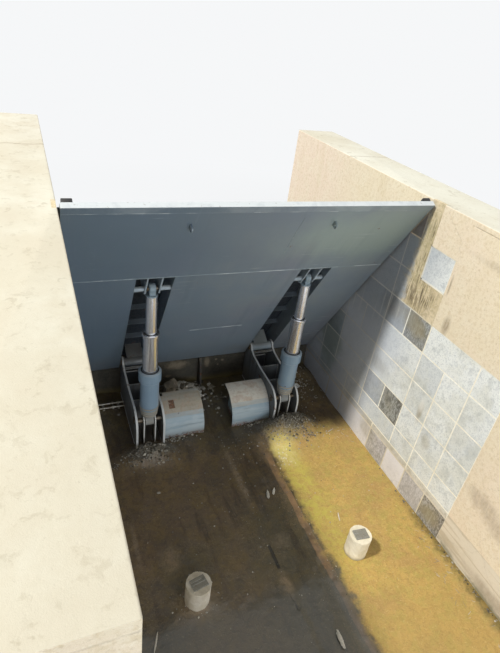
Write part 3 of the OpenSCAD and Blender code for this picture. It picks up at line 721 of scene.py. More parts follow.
def concreteFinish(name, base, dark, wetLine, lime, broken=()):  # cast or broken concrete
    coat = Coat(name, base=base)
    where = coat.where
    cloud = patches(where, 9.0, 0.36, 0.66)
    coat.lay(cloud, dark)
    coat.lay(grains(where, 230.0, 0.8, "speckle"), (214, 208, 190), lime)
    for x, distance, height, size in broken:  # pale where it has broken away
        coat.lay(spotAt(where, x, distance, height, size, 22.0), (150, 138, 118), 0.6)
    low = spread(axes(where)[2], floorZ + wetLine, floorZ)
    coat.lay(low, (104, 92, 50), 0.8)
    coat.bump(cloud, 0.3, 0.004)
    coat.bump(grains(where, 230.0, 0.8), 0.6, 0.002)
    return coat.done(Roughness=blendValue(low, 0.9, 0.5))


def rustColour(where):
    return blendColour(spread(noiseAt(where, 90.0, 5.0), 0.4, 0.62), (70, 44, 32), (132, 82, 52))


plainPaint = {  # what a paint has unless its own look says otherwise
    "cloudScale": 1.6, "fade": 0.5, "runScale": 16.0, "runs": 0.2, "marks": 0.2, "topDust": 0.5, "mudFull": 0.15,
    "mudTone": (84, 72, 52), "mud": 0.8, "wearWidth": 0.004, "wear": 0.5, "edge": (188, 194, 198),
    "rustScale": 14.0, "rustFrom": 0.70, "rough": 0.42, "peel": 120.0,
}


def paintFinish(name, look, local=None):  # painted steel: fading, run marks, dust, chipped edges and rust
    look = {**plainPaint, **look}
    coat = Coat(name, look, local=local)
    where = coat.where
    x, _, z = axes(coat.place)
    broad = patches(where, look["cloudScale"], 0.34, 0.68)
    coat.lay(broad, "faded", look["fade"])
    streaks = runs(where, look["runScale"], 0.46, 0.74)
    coat.lay(streaks, "run", look["runs"])
    marks = patches(where, 46.0, 0.63, 0.70, 0.03)
    coat.lay(marks, "dust", look["marks"])
    dust = facingUp(where) * look["topDust"]
    coat.lay(dust, "dust")
    if "mudTop" in look:  # splashed and silted up to this height over the floor
        mud = spread(z, floorZ + look["mudTop"], floorZ + look["mudTop"] * look["mudFull"])
        mud = mud * blendValue(broad, 0.6, 1.0)
        coat.lay(mud, "mudTone", look["mud"])
        dust = highest(dust, mud)
    if "dull" in look:  # the left hinge is darker: painted shade, partly dirt
        hingeShadeMask = spread(x, 0.1, -0.1) * spread(z, floorZ + 1.0, floorZ + 0.9) * blendValue(broad, 0.7, 1.0)
        coat.lay(hingeShadeMask, "dull", 0.95)
    if "rim" in look:  # a pale line along the cut edges of the upright plates: painted highlight
        middle, half = look["rim"]
        out = abs(abs(abs(x) - site["foot"].x) - middle)
        flat = abs(towards(where, (1, 0, 0), -1.0, 1.0) - 0.5)
        rim = spread(out, half + 0.002, half) * spread(flat, 0.25, 0.1) * blendValue(marks, 0.85, 0.2)
        coat.lay(rim, "edge")
    wear = worn(where, look["wearWidth"], look["wear"])
    coat.lay(wear, "edge")
    flakes = patches(where, look["rustScale"], look["rustFrom"], look["rustFrom"] + 0.035, 0.12)
    coat.lay(flakes, rustColour(where))
    rough = blendValue(streaks, blendValue(dust, look["rough"], 0.85), look["rough"] + 0.2)
    coat.bump(noiseAt(where, look["peel"], 2.0), 0.12, 0.0012)
    coat.bump(noiseAt(where, 2.2, 1.0), 0.25, 0.004)
    coat.bump(flakes + wear, -0.5, 0.0012)
    return coat.done(Roughness=blendValue(flakes, rough, 0.95))


leafLook = {
    "base": (128, 141, 154), "cool": (110, 126, 142), "warm": (140, 147, 147), "run": (104, 116, 124),
    "scuff": (176, 186, 192), "mud": (96, 90, 76), "line": (190, 199, 204), "inside": (44, 52, 62),
    "dim": (92, 110, 126), "ribPitch": 0.31, "rough": 0.38,
    "upSlope": (0.0, -math.sin(site["lean"]), math.cos(site["lean"])),
    "upstream": (0.0, math.cos(site["lean"]), math.sin(site["lean"])),
}


def leafCoat(name):  # the grey-blue coat of the leaf, weathered, with painted shade towards the left and a painted reflection at the upper right
    coat = Coat(name, leafLook, local=leafAxes)
    where = coat.where
    x, _, z = axes(where)
    cloud, patch = patches(where, 0.6, 0.36, 0.66), patches(where, 2.0, 0.42, 0.66)
    coat.lay(cloud, "cool", 0.8)
    coat.lay(patch, "warm", 0.35)
    coat.dapple((1.1, 0.44, 0.60, 0.2, (122, 128, 146), 0.45))
    # a green-grey tint over the upper right: painted reflection
    green = applied(spot, where, centre=(0.95, 0.0, 2.15), size=(1.1, 1.0, 0.6), breakup=1.4)
    coat.lay(green, (150, 166, 160), 0.75)
    # darker towards the left: painted shade
    coat.lay(spread(x + cloud * 0.8, 1.3, -1.3), "dim", 0.85)
    streaks = runs(where, 6.0, 0.52, 0.80)
    coat.lay(streaks, "run", 0.22)
    coat.lay(runs(where, 22.0, 0.60, 0.82), "scuff", 0.12)
    coat.dapple((55.0, 0.66, 0.72, 0.02, "scuff", 0.12))
    coat.lay(spread(z, 0.34, -0.13) * blendValue(patch, 0.4, 1.0), "mud", 0.38)
    return coat, streaks


def leafFinish():
    coat, streaks = leafCoat("leafPaint")
    look, where = coat.look, coat.where
    coat.lay(runs(where, 34.0, 0.66, 0.74, (0.05, 1.0, 1.0)), "scuff", 0.35)
    coat.lay(worn(where, 0.004, 0.45), "line")
    coat.dapple((12.0, 0.715, 0.74, 0.12, (118, 92, 74), 0.6))
    dish = axes(where)[2] * (math.tau / look["ribPitch"])
    coat.bump(dish.math("SINE", dish), 0.20, 0.0016)
    coat.bump(noiseAt(where, 1.8, 1.0), 0.30, 0.006)
    coat.bump(noiseAt(where, 140.0, 2.0), 0.10, 0.001)
    return coat.done(Roughness=blendValue(streaks, look["rough"], look["rough"] + 0.16))


def bandFinish():  # the faces that look up the slope are pale, its front is as the leaf
    coat, streaks = leafCoat("bandPaint")
    where = coat.where
    coat.dapple((3.0, 0.4, 0.6, 0.3, "scuff", 0.25))
    pale = dappled(where, (206, 211, 212), (7.0, 0.44, 0.62, 0.3, (188, 194, 197), 0.6),
                   (40.0, 0.62, 0.68, 0.03, (150, 148, 140), 0.5))
    coat.lay(towards(where, coat.look["upSlope"], 0.35, 0.55), pale)
    coat.bump(noiseAt(where, 120.0, 2.0), 0.12, 0.001)
    return coat.done(Roughness=blendValue(streaks, 0.42, 0.6))


def seamFinish():  # ground weld lines, bright in places
    coat = Coat("seamPaint", leafLook, (132, 146, 155), leafAxes)
    coat.lay(patches(coat.where, 3.2, 0.46, 0.60, 0.1), "line")
    coat.bump(noiseAt(coat.where, 160.0, 3.0), 0.3, 0.001)
    return coat.done(Roughness=0.5)


def backFinish():  # dry inside, with painted shade on the faces inside the leaf, stained by the pond outside
    coat = leafCoat("leafBackPaint")[0]
    look, where = coat.look, coat.where
    level = floorZ + site["pond"]
    cloud, fine = patches(where, 1.6, 0.36, 0.66), patches(where, 16.0, 0.42, 0.64)
    line = axes(coat.place)[2] + noiseAt(where, 3.0, 4.0) * 0.05
    scum = over(over((104, 104, 78), cloud, (82, 84, 60)), fine, (126, 118, 84), 0.5)
    scum = over(scum, runs(where, 14.0, 0.45, 0.70), (62, 62, 46), 0.5)
    shell = patches(where, 48.0, 0.62, 0.68, 0.03)
    scum = over(scum, shell, (176, 172, 150), 0.5)
    coat.lay(spread(line, level + 0.03, level), scum)
    coat.lay(spread(abs(line - (level + 0.04)), 0.022, 0.006), (172, 168, 148), 0.6)
    # the faces inside the leaf: painted shade
    inside = over(look["inside"], cloud, (36, 42, 48))
    coat.colour = blendColour(towards(where, look["upstream"], 0.0, 0.2), inside, coat.colour)
    coat.lay(patches(where, 11.0, 0.66, 0.70, 0.12), rustColour(where), 0.8)
    coat.bump(fine, 0.3, 0.002)
    coat.bump(shell, 0.5, 0.002)
    return coat.done(Roughness=blendValue(fine, 0.55, 0.8))


coverLook = {
    "base": (146, 167, 181), "pale": (180, 193, 199), "tan": (176, 168, 152), "stain": (140, 122, 98),
    "grime": (98, 86, 64), "patchAt": (-0.485, 0.592, 0.328), "patchHalf": (0.030, 0.042, 0.05),
}


def coverFinish():
    coat = Coat("coverPaint", coverLook)
    look, where = coat.look, coat.where
    x, _, z = axes(where)
    up = facingUp(where, 0.55, 0.80)
    cloud = patches(where, 5.0, 0.38, 0.66)
    across = runs(where, 18.0, 0.42, 0.66, (0.05, 1.0, 1.0))
    coat.lay(cloud, "pale", 0.5)
    coat.lay(across, "pale", 0.55)
    coat.lay(runs(where, 30.0, 0.56, 0.72, (0.08, 1.0, 1.0)), (118, 132, 140), 0.55)
    tan = up * blendValue(across, 0.95, 0.6)
    coat.lay(tan, "tan")
    coat.lay(up * spread(x, -0.05, 0.05), (222, 218, 208), 0.7)
    coat.lay(up * patches(where, 8.0, 0.46, 0.62), (186, 164, 146), 0.6)
    coat.lay(up * patches(where, 15.0, 0.50, 0.62), "stain", 0.25)
    coat.lay(spread(z, floorZ + 0.10, floorZ + 0.015) * blendValue(cloud, 0.4, 1.0), "grime", 0.7)
    coat.lay(worn(where, 0.005, 0.6), (206, 208, 204))
    rust = spread(z, floorZ + 0.085, floorZ + 0.02) * patches(where, 20.0, 0.42, 0.54)
    rust = highest(rust, patches(where, 14.0, 0.70, 0.73, 0.12))
    patch = boxMask(where, downstream(*look["patchAt"]), look["patchHalf"], 0.003)
    rust = highest(rust, patch * patches(where, 40.0, 0.30, 0.44, 0.05))
    coat.lay(rust, rustColour(where), 0.85)
    coat.bump(across, 0.15, 0.0015)
    coat.bump(rust, -0.6, 0.0016)
    return coat.done(Roughness=blendValue(highest(tan, rust), 0.46, 0.85))


paints = {
    # ribPaint is darker than the leaf's coat: painted shade of the ribs inside the leaf
    "ribPaint": {"base": (78, 90, 102), "faded": (90, 100, 110), "run": (56, 62, 68), "dust": (104, 112, 118),
                 "runs": 0.4, "rough": 0.55},
    "mudPaint": {"base": (168, 160, 144), "faded": (150, 146, 136), "run": (112, 104, 88),
                 "dust": (176, 168, 152), "runs": 0.4, "rough": 0.7, "wear": 0.8},
    "tubePaint": {"base": (152, 168, 182), "faded": (166, 180, 190), "run": (118, 126, 130),
                  "dull": (62, 56, 50), "dust": (152, 152, 144), "runs": 0.25, "wear": 0.8},
    "jackPaint": {"base": (130, 154, 176), "faded": (144, 166, 182), "run": (96, 114, 128),
                  "dust": (164, 170, 172), "runs": 0.3, "rough": 0.28, "wear": 0.7, "mudTop": 0.52,
                  "mudFull": 0.72, "mudTone": (146, 136, 118), "mud": 0.75, "peel": 60.0, "cloudScale": 3.0},
    # darker than the jacks' coat: partly painted shade of the bracket's deep interior
    "bracketPaint": {"base": (106, 112, 118), "faded": (122, 124, 126), "run": (78, 74, 70),
                     "dust": (128, 120, 106), "runs": 0.5, "topDust": 0.35, "rough": 0.5, "wear": 1.0,
                     "wearWidth": 0.006, "edge": (214, 218, 220), "mudTop": 0.36, "mud": 0.7,
                     "mudTone": (96, 84, 66), "rustFrom": 0.64, "rim": (0.135, 0.0115)},
    "earPaint": {"base": (122, 124, 124), "faded": (138, 138, 134), "run": (84, 76, 66),
                 "dust": (134, 126, 108), "runs": 0.4, "rough": 0.6, "wear": 1.0, "mudTop": 0.32,
                 "edge": (214, 216, 214), "rustFrom": 0.62, "rim": (0.056, 0.008)},
    "padPaint": {"base": (118, 116, 108), "faded": (150, 146, 132), "run": (74, 70, 62), "cloudScale": 14.0,
                 "dust": (166, 160, 142), "topDust": 0.2, "rough": 0.55, "wear": 0.9, "rustFrom": 0.64,
                 "rustScale": 30.0},
    "postPaint": {"base": (60, 56, 52), "faded": (76, 70, 62), "run": (44, 40, 36), "dust": (90, 84, 70),
                  "rough": 0.7, "rustFrom": 0.60},
}


def steelFinish(name, base, rough, film, grimeScale=30.0, metal=1.0, paintedFrom=None):
    coat = Coat(name, base=base)  # bare or plated steel with a film of dirt
    where = coat.where
    dirt = highest(patches(where, grimeScale, 0.45, 0.66), runs(where, 40.0, 0.46, 0.66)) * film
    coat.lay(dirt, (112, 92, 62))
    metallic = blendValue(dirt, metal, 0.4)
    roughness = blendValue(dirt, rough, rough + 0.35)
    if paintedFrom:  # the eye over the plated length is painted
        painted = spread(axes(where)[2], paintedFrom - 0.002, paintedFrom)
        eye = dappled(where, (134, 154, 168), (14.0, 0.4, 0.62, 0.3, (118, 138, 152), 0.7))
        coat.lay(painted, over(eye, facingUp(where), (168, 178, 184), 0.5))
        metallic = blendValue(painted, metallic, 0.0)
        roughness = blendValue(painted, roughness, 0.45)
    coat.bump(runs(where, 160.0, 0.3, 0.8, (1.0, 1.0, 0.02)), 0.05, 0.0004)
    return coat.done(Metallic=metallic, Roughness=roughness)


def rubberFinish():
    coat = Coat("sealRubber", base=(28, 28, 29))
    chalk = patches(coat.where, 12.0, 0.45, 0.66)
    coat.lay(chalk, (70, 68, 62), 0.5)
    coat.bump(grains(coat.where, 240.0, 0.4), 0.3, 0.0008)
    return coat.done(Roughness=blendValue(chalk, 0.55, 0.85))


def stoneFinish(name, dark, pale):  # loose stones: a tone for each from its attribute
    coat = Coat(name, base=dark)
    coat.lay(attribute(coat.where, "stoneTone"), pale)
    cloud = patches(coat.where, 24.0, 0.36, 0.66)
    coat.lay(cloud, (88, 76, 54), 0.25)
    coat.bump(grains(coat.where, 260.0, 0.5), 0.5, 0.0015)
    return coat.done(Roughness=blendValue(cloud, 0.85, 0.55))


# Silt that lies on the floor, used by its finish too
siltLook = {
    "spacing": 0.018, "base": 0.007, "ripple": 0.004,
    "heaps": (  # across, downstream, height, half widths
        (0.75, 0.93, 0.200, 0.36, 0.22), (-0.78, 0.94, 0.130, 0.28, 0.16), (1.26, 0.10, 0.100, 0.34, 0.46),
        (-0.22, 0.04, 0.105, 0.24, 0.13), (-0.75, 2.50, 0.040, 0.16, 0.14), (-1.25, 0.05, 0.040, 0.32, 0.22),
        (1.34, 1.00, 0.020, 0.18, 0.35), (1.45, 2.95, 0.026, 0.08, 0.65), (0.18, 0.25, 0.030, 0.24, 0.26),
        (-0.38, 0.84, 0.022, 0.20, 0.10),
    ),
    "ridges": ((0.385, 0.036, 0.016), (-0.02, 0.030, 0.007)),  # across, half width, height
}

headStart = site["foot"].z + 1.4100  # where the painted eyes of the jacks start
finishes = {name: paintFinish(name, look, leafAxes if name == "ribPaint" else None)
            for name, look in paints.items()}
finishes.update({
    "bandMud": paintFinish("bandMud", paints["mudPaint"]), "leafPaint": leafFinish(), "backPaint": backFinish(),
    "bandPaint": bandFinish(), "seamPaint": seamFinish(), "coverPaint": coverFinish(), "pier": pierFinish(),
    "slabs": slabFinish(), "mortar": mortarFinish(), "floor": floorFinish(),
    "sill": concreteFinish("sillConcrete", (58, 54, 46), (38, 36, 31), 0.12, 0.10, (
        (-0.24, -0.10, 0.285, (0.17, 0.14, 0.075)), (0.13, -0.10, 0.27, (0.05, 0.10, 0.10)),
        (0.24, -0.10, 0.30, (0.022, 0.05, 0.018)), (0.32, -0.10, 0.28, (0.026, 0.05, 0.02)),
        (0.27, -0.10, 0.22, (0.02, 0.05, 0.02)), (-0.34, -0.10, 0.14, (0.05, 0.05, 0.03)))),
    "rubble": concreteFinish("brokenConcrete", (168, 156, 138), (96, 86, 72), 0.05, 0.3),
    "rest": concreteFinish("restConcrete", (242, 233, 210), (224, 213, 186), 0.05, 0.3),
    # the left stub's copy of the rest concrete is darker: painted shade
    "leftRestShaded": concreteFinish("leftRestShadedConcrete", (212, 204, 190), (190, 180, 160), 0.05, 0.3),
    "pin": steelFinish("pinSteel", (104, 98, 90), 0.50, 1.0),
    "chrome": steelFinish("platedRod", (232, 234, 240), 0.17, 0.12, 12.0, 0.88, headStart),
    "pipe": steelFinish("pipeSteel", (176, 174, 166), 0.42, 0.8),
    "grid": steelFinish("gridPlastic", (250, 250, 246), 0.6, 0.2, 30.0, 0.0),
    "rubber": rubberFinish(), "gravel": stoneFinish("gravelStone", (68, 64, 54), (222, 217, 205)),
})
print("finishes built", len(bpy.data.materials))

slotFinish = {
    "floor_concrete": "floor", "sill_concrete": "sill", "rubble": "rubble", "pier_render": "pier",
    "facing_stone": "slabs", "bracket_paint": "bracketPaint", "ear_steel": "earPaint", "pin_steel": "pin",
    "cover_paint": "coverPaint", "rest_concrete": "rest", "pad_steel": "padPaint", "post_steel": "postPaint",
    "pipe_steel": "pipe", "leaf_paint": "leafPaint", "leaf_back_paint": "backPaint", "band_paint": "bandPaint",
    "rib_paint": "ribPaint", "tube_paint": "tubePaint", "seal_rubber": "rubber", "jack_paint": "jackPaint",
    "plated_rod": "chrome",
}
nodeSlots = {part["node"]: part["material_slot"] for part in frame["record"]["subparts"]}
for nodeName, cadObject in frame["nodes"].items():
    finish = finishes[slotFinish[nodeSlots[nodeName]]]
    if cadObject.material_slots:
        for materialSlot in cadObject.material_slots:
            materialSlot.material = finish
    else:
        cadObject.data.materials.append(finish)
print("finishes on", len(frame["nodes"]), "nodes")


# Stone facing: slabs on a mortar bed that fills their joints
facingLook = {
    "rows": (0.0, 0.289, 0.363, 0.575, 0.870, 1.170, 1.475, 1.764, 2.072, 2.380, 2.700),
    "starts": (0, 0, 0, 0, 0, 0, 0, 3, 3, 4),  # slab modules left out at the downstream end
    "widths": ((1, 1, 1, 1, 2, 1, 2, 1), (2, 2, 2, 2, 2), (1, 1, 1, 2, 1, 2, 1, 1), (1, 1, 1, 1, 1, 2, 1, 1, 1),
               (1, 1, 1, 2, 2, 1, 1, 1), (1, 1, 1, 2, 1, 1, 2, 1), (1, 2, 1, 1, 2, 1, 2), (1, 1, 2, 1, 1, 1),
               (1, 1, 2), (0.5,)),
    "steps": ((0, 10, 0.0, 1.764), (3, 10, 1.764, 2.072), (3, 7, 2.072, 2.380), (4, 4.5, 2.380, 2.740)),
    "module": 0.300, "joint": 0.0125, "bevel": 0.0010, "bed": 0.0006, "proud": 0.0008, "rim": 0.009,
    "clean": ((8, 0), (6, 1), (5, 1), (4, 1)),
    "dark": {(3, 3): 0.0, (3, 4): 0.036, (0, 0): 0.01, (6, 2): 0.02, (6, 3): 0.045, (4, 5): 0.03,
             (0, 1): 0.035, (0, 3): 0.03},
}


def buildFacing(side, seed):
    look = facingLook
    low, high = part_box(side + "_facing")
    inner, outer = sorted((abs(low.x), abs(high.x)))
    random.seed(seed)
    slabs = bmesh.new()
    toneLayer = slabs.faces.layers.float.new("slabTone")
    cleanLayer = slabs.faces.layers.float.new("slabClean")
    half, module = look["joint"] / 2, look["module"]

    def acrossX(a):
        return sorted((sides[side] * a, sides[side] * outer))

    for row, widths in enumerate(look["widths"]):
        y = low.y + look["starts"][row] * module
        for column, width in enumerate(widths):
            x1, x2 = acrossX(inner + random.uniform(0, look["proud"]) - look["bed"])
            before = set(slabs.faces)
            addBox(slabs, (x1, y + half, floorZ + look["rows"][row] + half),
                   (x2, y + width * module - half, floorZ + look["rows"][row + 1] - half),
                   bevel=look["bevel"], segments=1)
            shade = look["dark"].get((row, column), random.uniform(0.50, 1.0))
            clean = float((row, column) in look["clean"])
            for face in set(slabs.faces) - before:
                face[toneLayer] = max(shade, clean)
                face[cleanLayer] = clean
            y += width * module
    newPiece(slabs, side + "Slabs", "works", "slabs", replaces=(side + "_facing",))

    bed = bmesh.new()
    for start, end, bottom, top in look["steps"]:
        x1, x2 = acrossX(inner + look["bed"])
        addBox(bed, (x1, low.y + start * module, floorZ + bottom), (x2, low.y + end * module, floorZ + top))
    x1, x2 = acrossX(inner - look["bed"] - 0.0004)
    y1, y2 = low.y + 3 * module, low.y + 4 * module
    z1, z2 = floorZ + look["rows"][8], floorZ + look["rows"][9]
    rim = look["rim"]
    for ya, yb, za, zb in ((y1 - rim, y1 + half, z1 - half, z2 + rim), (y2 - half, y2 + rim, z1 - half, z2 + rim),
                           (y1 - rim, y2 + rim, z1 - rim, z1 + half), (y1 - rim, y2 + rim, z2 - half, z2 + rim)):
        addBox(bed, (x1, ya, za), (x2, yb, zb))
    newPiece(bed, side + "MortarBed", "works", "mortar", smoothAngle=20)


buildFacing("right", 7)
buildFacing("left", 19)
print("stone facing laid")


# Piers with worn arrises along the top and down the corners
pierLook = {"arris": 0.007, "segments": 3}


def buildPier(side):
    mesh = copyOf(side + "_pier")
    pier = bmesh.new()
    pier.from_mesh(mesh)
    bpy.data.meshes.remove(mesh)
    bmesh.ops.remove_doubles(pier, verts=pier.verts, dist=0.00005)
    bmesh.ops.dissolve_limit(pier, angle_limit=0.01, verts=pier.verts, edges=pier.edges)
    lines = (lambda c: abs(c.z - site["top"]), lambda c: abs(abs(c.x) - faceX),
             lambda c: abs(abs(c.x) - site["outer"]), lambda c: abs(c.y - site["down"]),
             lambda c: abs(c.y - site["up"]))
    arrises = [e for e in pier.edges if e.calc_length() > 0.5
               and sum(all(line(v.co) < 0.0005 for v in e.verts) for line in lines) > 1]
    bevelled(pier, arrises, pierLook["arris"], pierLook["segments"])
    newPiece(pier, side + "PierRender", "works", "pier", smoothAngle=30, replaces=(side + "_pier",))


buildPier("right")
buildPier("left")
print("piers rounded")


# Weathered concrete
roughCopy("sill", "sillRough", "sill", 0.014, 0.012, 7.0)
roughCopy("sill_rubble", "sillLumps", "rubble", 0.006, 0.016, 16.0)
roughCopy("left_stub", "leftStubRough", "leftRestShaded", 0.005, 0.004, 24.0)
roughCopy("right_stub", "rightStubRough", "rest", 0.005, 0.004, 24.0)
print("concrete weathered")


# Silt on the floor
def siltHeight(x, distance):
    look = siltLook
    spotNoise = noise.fractal(Vector((x * 2.4, distance * 2.4, 3.0)), 0.9, 2.1, 5)
    fine = noise.fractal(Vector((x * 15, distance * 15, 8.0)), 0.8, 2.0, 3)
    height = look["base"] + look["ripple"] * spotNoise + 0.0016 * fine
    for cx, cy, top, wide, long in look["heaps"]:
        reach = ((x - cx) / wide) ** 2 + ((distance - cy) / long) ** 2
        if reach < 4:
            height += top * math.exp(-reach * 1.6) * (1 + 0.35 * spotNoise + 0.16 * fine)
    along = min(1.0, max(0.0, (distance - 0.95) / 0.3))
    for middle, wide, top in look["ridges"]:
        height += top * along * math.exp(-((x - middle) / wide) ** 2) * (0.75 + 0.5 * spotNoise + 0.4 * fine)
    return max(0.0015, height)


def buildSilt():
    look = siltLook
    far, near = site["down"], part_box("sill")[0].y
    wide, long = 2 * faceX, near - far
    silt = bmesh.new()
    bmesh.ops.create_grid(silt, x_segments=round(wide / look["spacing"]), y_segments=round(long / look["spacing"]),
                          size=0.5)
    bmesh.ops.scale(silt, vec=(wide, long, 1), verts=silt.verts)
    bmesh.ops.translate(silt, vec=(0, (far + near) / 2, floorZ), verts=silt.verts)
    for v in silt.verts:
        distance = hingeY - v.co.y
        fade = min(1.0, (v.co.y - far) / 0.06 + 0.15)
        v.co.z += siltHeight(v.co.x, distance) * fade
    rim = [e for e in silt.edges if e.is_boundary]
    lowered = [g for g in bmesh.ops.extrude_edge_only(silt, edges=rim)["geom"] if isinstance(g, bmesh.types.BMVert)]
    for v in lowered:
        v.co.z = floorZ - 0.002
    bmesh.ops.holes_fill(silt, edges=[e for e in silt.edges if e.is_boundary], sides=0)
    bmesh.ops.recalc_face_normals(silt, faces=silt.faces)
    newPiece(silt, "floorSilt", "works", "floor", smoothAngle=60)


buildSilt()
print("silt laid")


# Loose stones
stoneLook = {
    "fields": (  # across, downstream, half widths, how many, smallest and largest, paleness
        (0.79, 0.94, 0.26, 0.18, 620, 0.006, 0.016, 0.18), (-0.78, 0.96, 0.24, 0.12, 260, 0.006, 0.017, 0.16),
        (-0.02, 1.50, 0.020, 0.60, 40, 0.003, 0.008, 0.25), (1.10, 0.20, 0.05, 0.16, 46, 0.008, 0.016, 1.00),
        (0.55, 1.28, 0.10, 0.16, 34, 0.004, 0.009, 0.95), (-0.46, 0.78, 0.20, 0.04, 60, 0.006, 0.018, 0.45),
        (0.40, 0.80, 0.20, 0.04, 40, 0.006, 0.016, 0.40), (-0.22, 0.06, 0.17, 0.10, 34, 0.030, 0.062, 0.42),
        (-0.06, 0.18, 0.05, 0.05, 26, 0.014, 0.030, 0.95), (-0.75, 2.50, 0.16, 0.14, 70, 0.004, 0.012, 0.40),
        (-0.20, 0.06, 0.26, 0.12, 90, 0.008, 0.024, 0.50), (0.41, 2.10, 0.035, 1.05, 110, 0.003, 0.008, 0.20),
        (0.85, 1.12, 0.42, 0.09, 70, 0.004, 0.010, 0.50), (1.22, 0.30, 0.20, 0.30, 150, 0.005, 0.016, 0.45),
        (1.12, 0.14, 0.12, 0.12, 60, 0.006, 0.014, 0.90), (1.46, 2.90, 0.02, 0.80, 70, 0.005, 0.013, 0.10),
        (-0.20, 1.90, 0.60, 0.90, 80, 0.003, 0.009, 0.35), (-1.30, 1.20, 0.14, 1.40, 50, 0.004, 0.013, 0.30),
        (0.20, 1.05, 0.25, 0.25, 70, 0.004, 0.012, 0.25), (0.12, 0.30, 0.18, 0.20, 50, 0.008, 0.022, 0.30),
        (0.95, 2.10, 0.45, 0.90, 36, 0.003, 0.007, 0.45),
    ),
    "litter": (  # across, downstream, length, width, turn in degrees, paleness
        (-0.84, 1.00, 0.040, 0.030, 20, 1.0), (0.18, 1.72, 0.090, 0.034, 75, 0.8), (0.25, 1.70, 0.075, 0.028, 60, 1.0),
        (0.18, 3.09, 0.130, 0.036, 85, 1.0), (0.73, 2.13, 0.090, 0.010, 70, 1.0), (-1.11, 2.68, 0.140, 0.014, 68, 1.0),
        (-0.80, 1.42, 0.034, 0.030, 0, 0.5), (0.95, 1.12, 0.120, 0.014, 160, 0.2), (1.22, 1.10, 0.090, 0.012, 20, 0.7),
        (-0.10, 0.03, 0.060, 0.045, 15, 1.1), (-0.16, 0.07, 0.048, 0.036, 70, 1.2),
        (-0.05, 0.09, 0.040, 0.034, 40, 0.9),
        (0.13, 0.02, 0.050, 0.040, 30, 1.0), (-0.36, 0.10, 0.060, 0.045, 10, 0.9), (0.30, 0.06, 0.034, 0.026, 0, 0.8),
    ),
    "straw": ((1.36, 3.05, 0.07, 0.40, 46), (1.30, 1.16, 0.10, 0.06, 16), (-1.20, 0.95, 0.16, 0.20, 14)),
    "seed": 23,
}


def stoneShapes(count, detail):  # a few broken stones, about a metre across
    shapes = []
    for _ in range(count):
        bm = bmesh.new()
        made = bmesh.ops.create_icosphere(bm, subdivisions=detail, radius=0.5)["verts"]
        away = Vector((random.uniform(0, 90), 0, 0))
        for v in made:
            v.co *= random.uniform(0.80, 1.12) if detail < 2 else 1 + 0.45 * noise.noise(v.co * 3.5 + away)
        bmesh.ops.scale(bm, vec=(1.0, random.uniform(0.6, 0.95), random.uniform(0.45, 0.8)), verts=made)
        mesh = bpy.data.meshes.new("stoneShape")
        bm.to_mesh(mesh)
        bm.free()
        shapes.append(mesh)
    return shapes


def scatter(bm, layer, mesh, place, shade):
    startVerts, startFaces = len(bm.verts), len(bm.faces)
    bm.from_mesh(mesh)
    bm.verts.ensure_lookup_table()
    bm.faces.ensure_lookup_table()
    for v in bm.verts[startVerts:]:
        v.co = place @ v.co
    for f in bm.faces[startFaces:]:
        f[layer] = shade


def buildGravel():
    look = stoneLook
    random.seed(look["seed"])
    small, large = stoneShapes(7, 1), stoneShapes(5, 3)
    gravel = bmesh.new()
    layer = gravel.faces.layers.float.new("stoneTone")
    limit = faceX - 0.02
    for cx, cy, wide, long, count, least, most, pale in look["fields"]:
        for _ in range(count):
            x = max(-limit, min(limit, random.gauss(cx, wide * 0.6)))
            distance = max(-0.08, min(3.86, random.gauss(cy, long * 0.6)))
            size = least + (most - least) * random.random() ** 2
            point = downstream(x, distance, siltHeight(x, distance) + size * 0.22)
            turn = Matrix.Rotation(random.uniform(0, math.tau), 4, "Z") @ Matrix.Rotation(
                random.uniform(-0.5, 0.5), 4, "X")
            place = Matrix.Translation(point) @ turn @ Matrix.Scale(size * 2, 4)
            scatter(gravel, layer, random.choice(small), place, min(1.0, max(0.0, random.gauss(pale, 0.22))))
    for cx, cy, wide, long, count in look["straw"]:
        for _ in range(count):
            x, distance = min(limit, random.gauss(cx, wide)), random.gauss(cy, long)
            if distance < 3.86:
                point = downstream(x, distance, siltHeight(x, distance) + 0.003)
                place = Matrix.Translation(point) @ Matrix.Rotation(random.uniform(0, math.tau), 4, "Z")
                place = place @ Matrix.Diagonal((random.uniform(0.02, 0.07), 0.005, 0.005, 1.0))
                scatter(gravel, layer, random.choice(small), place, random.uniform(0.2, 0.8))
    for x, distance, long, wide, turn, pale in look["litter"]:
        point = downstream(x, distance, siltHeight(x, distance) + wide * 0.30)
        place = Matrix.Translation(point) @ Matrix.Rotation(math.radians(turn), 4, "Z") @ Matrix.Diagonal(
            (long, wide, wide * 0.9, 1.0))
        scatter(gravel, layer, random.choice(large), place, pale)
    newPiece(gravel, "floorGravel", "works", "gravel", smoothAngle=20)
    for mesh in small + large:
        bpy.data.meshes.remove(mesh)


buildGravel()
print("gravel scattered")


# Weld lines on the leaf's downstream plate, and its corner stops and seal clamps
seamLook = {
    "lines": (  # from and to, across and up the slope, radius
        (-1.462, 1.690, 1.462, 1.690, 0.0036), (-0.26, 0.635, 0.32, 0.635, 0.0030), (0.30, 1.97, 0.30, 2.43, 0.0026)),
    "underBand": (1.462, 2.503, 0.0036), "stop": (1.385, 1.455, 0.050, 0.085, 2.440, 2.556),
    "clamp": (0.074, 0.080, -0.165, -0.135), "clampBolts": 14,
}


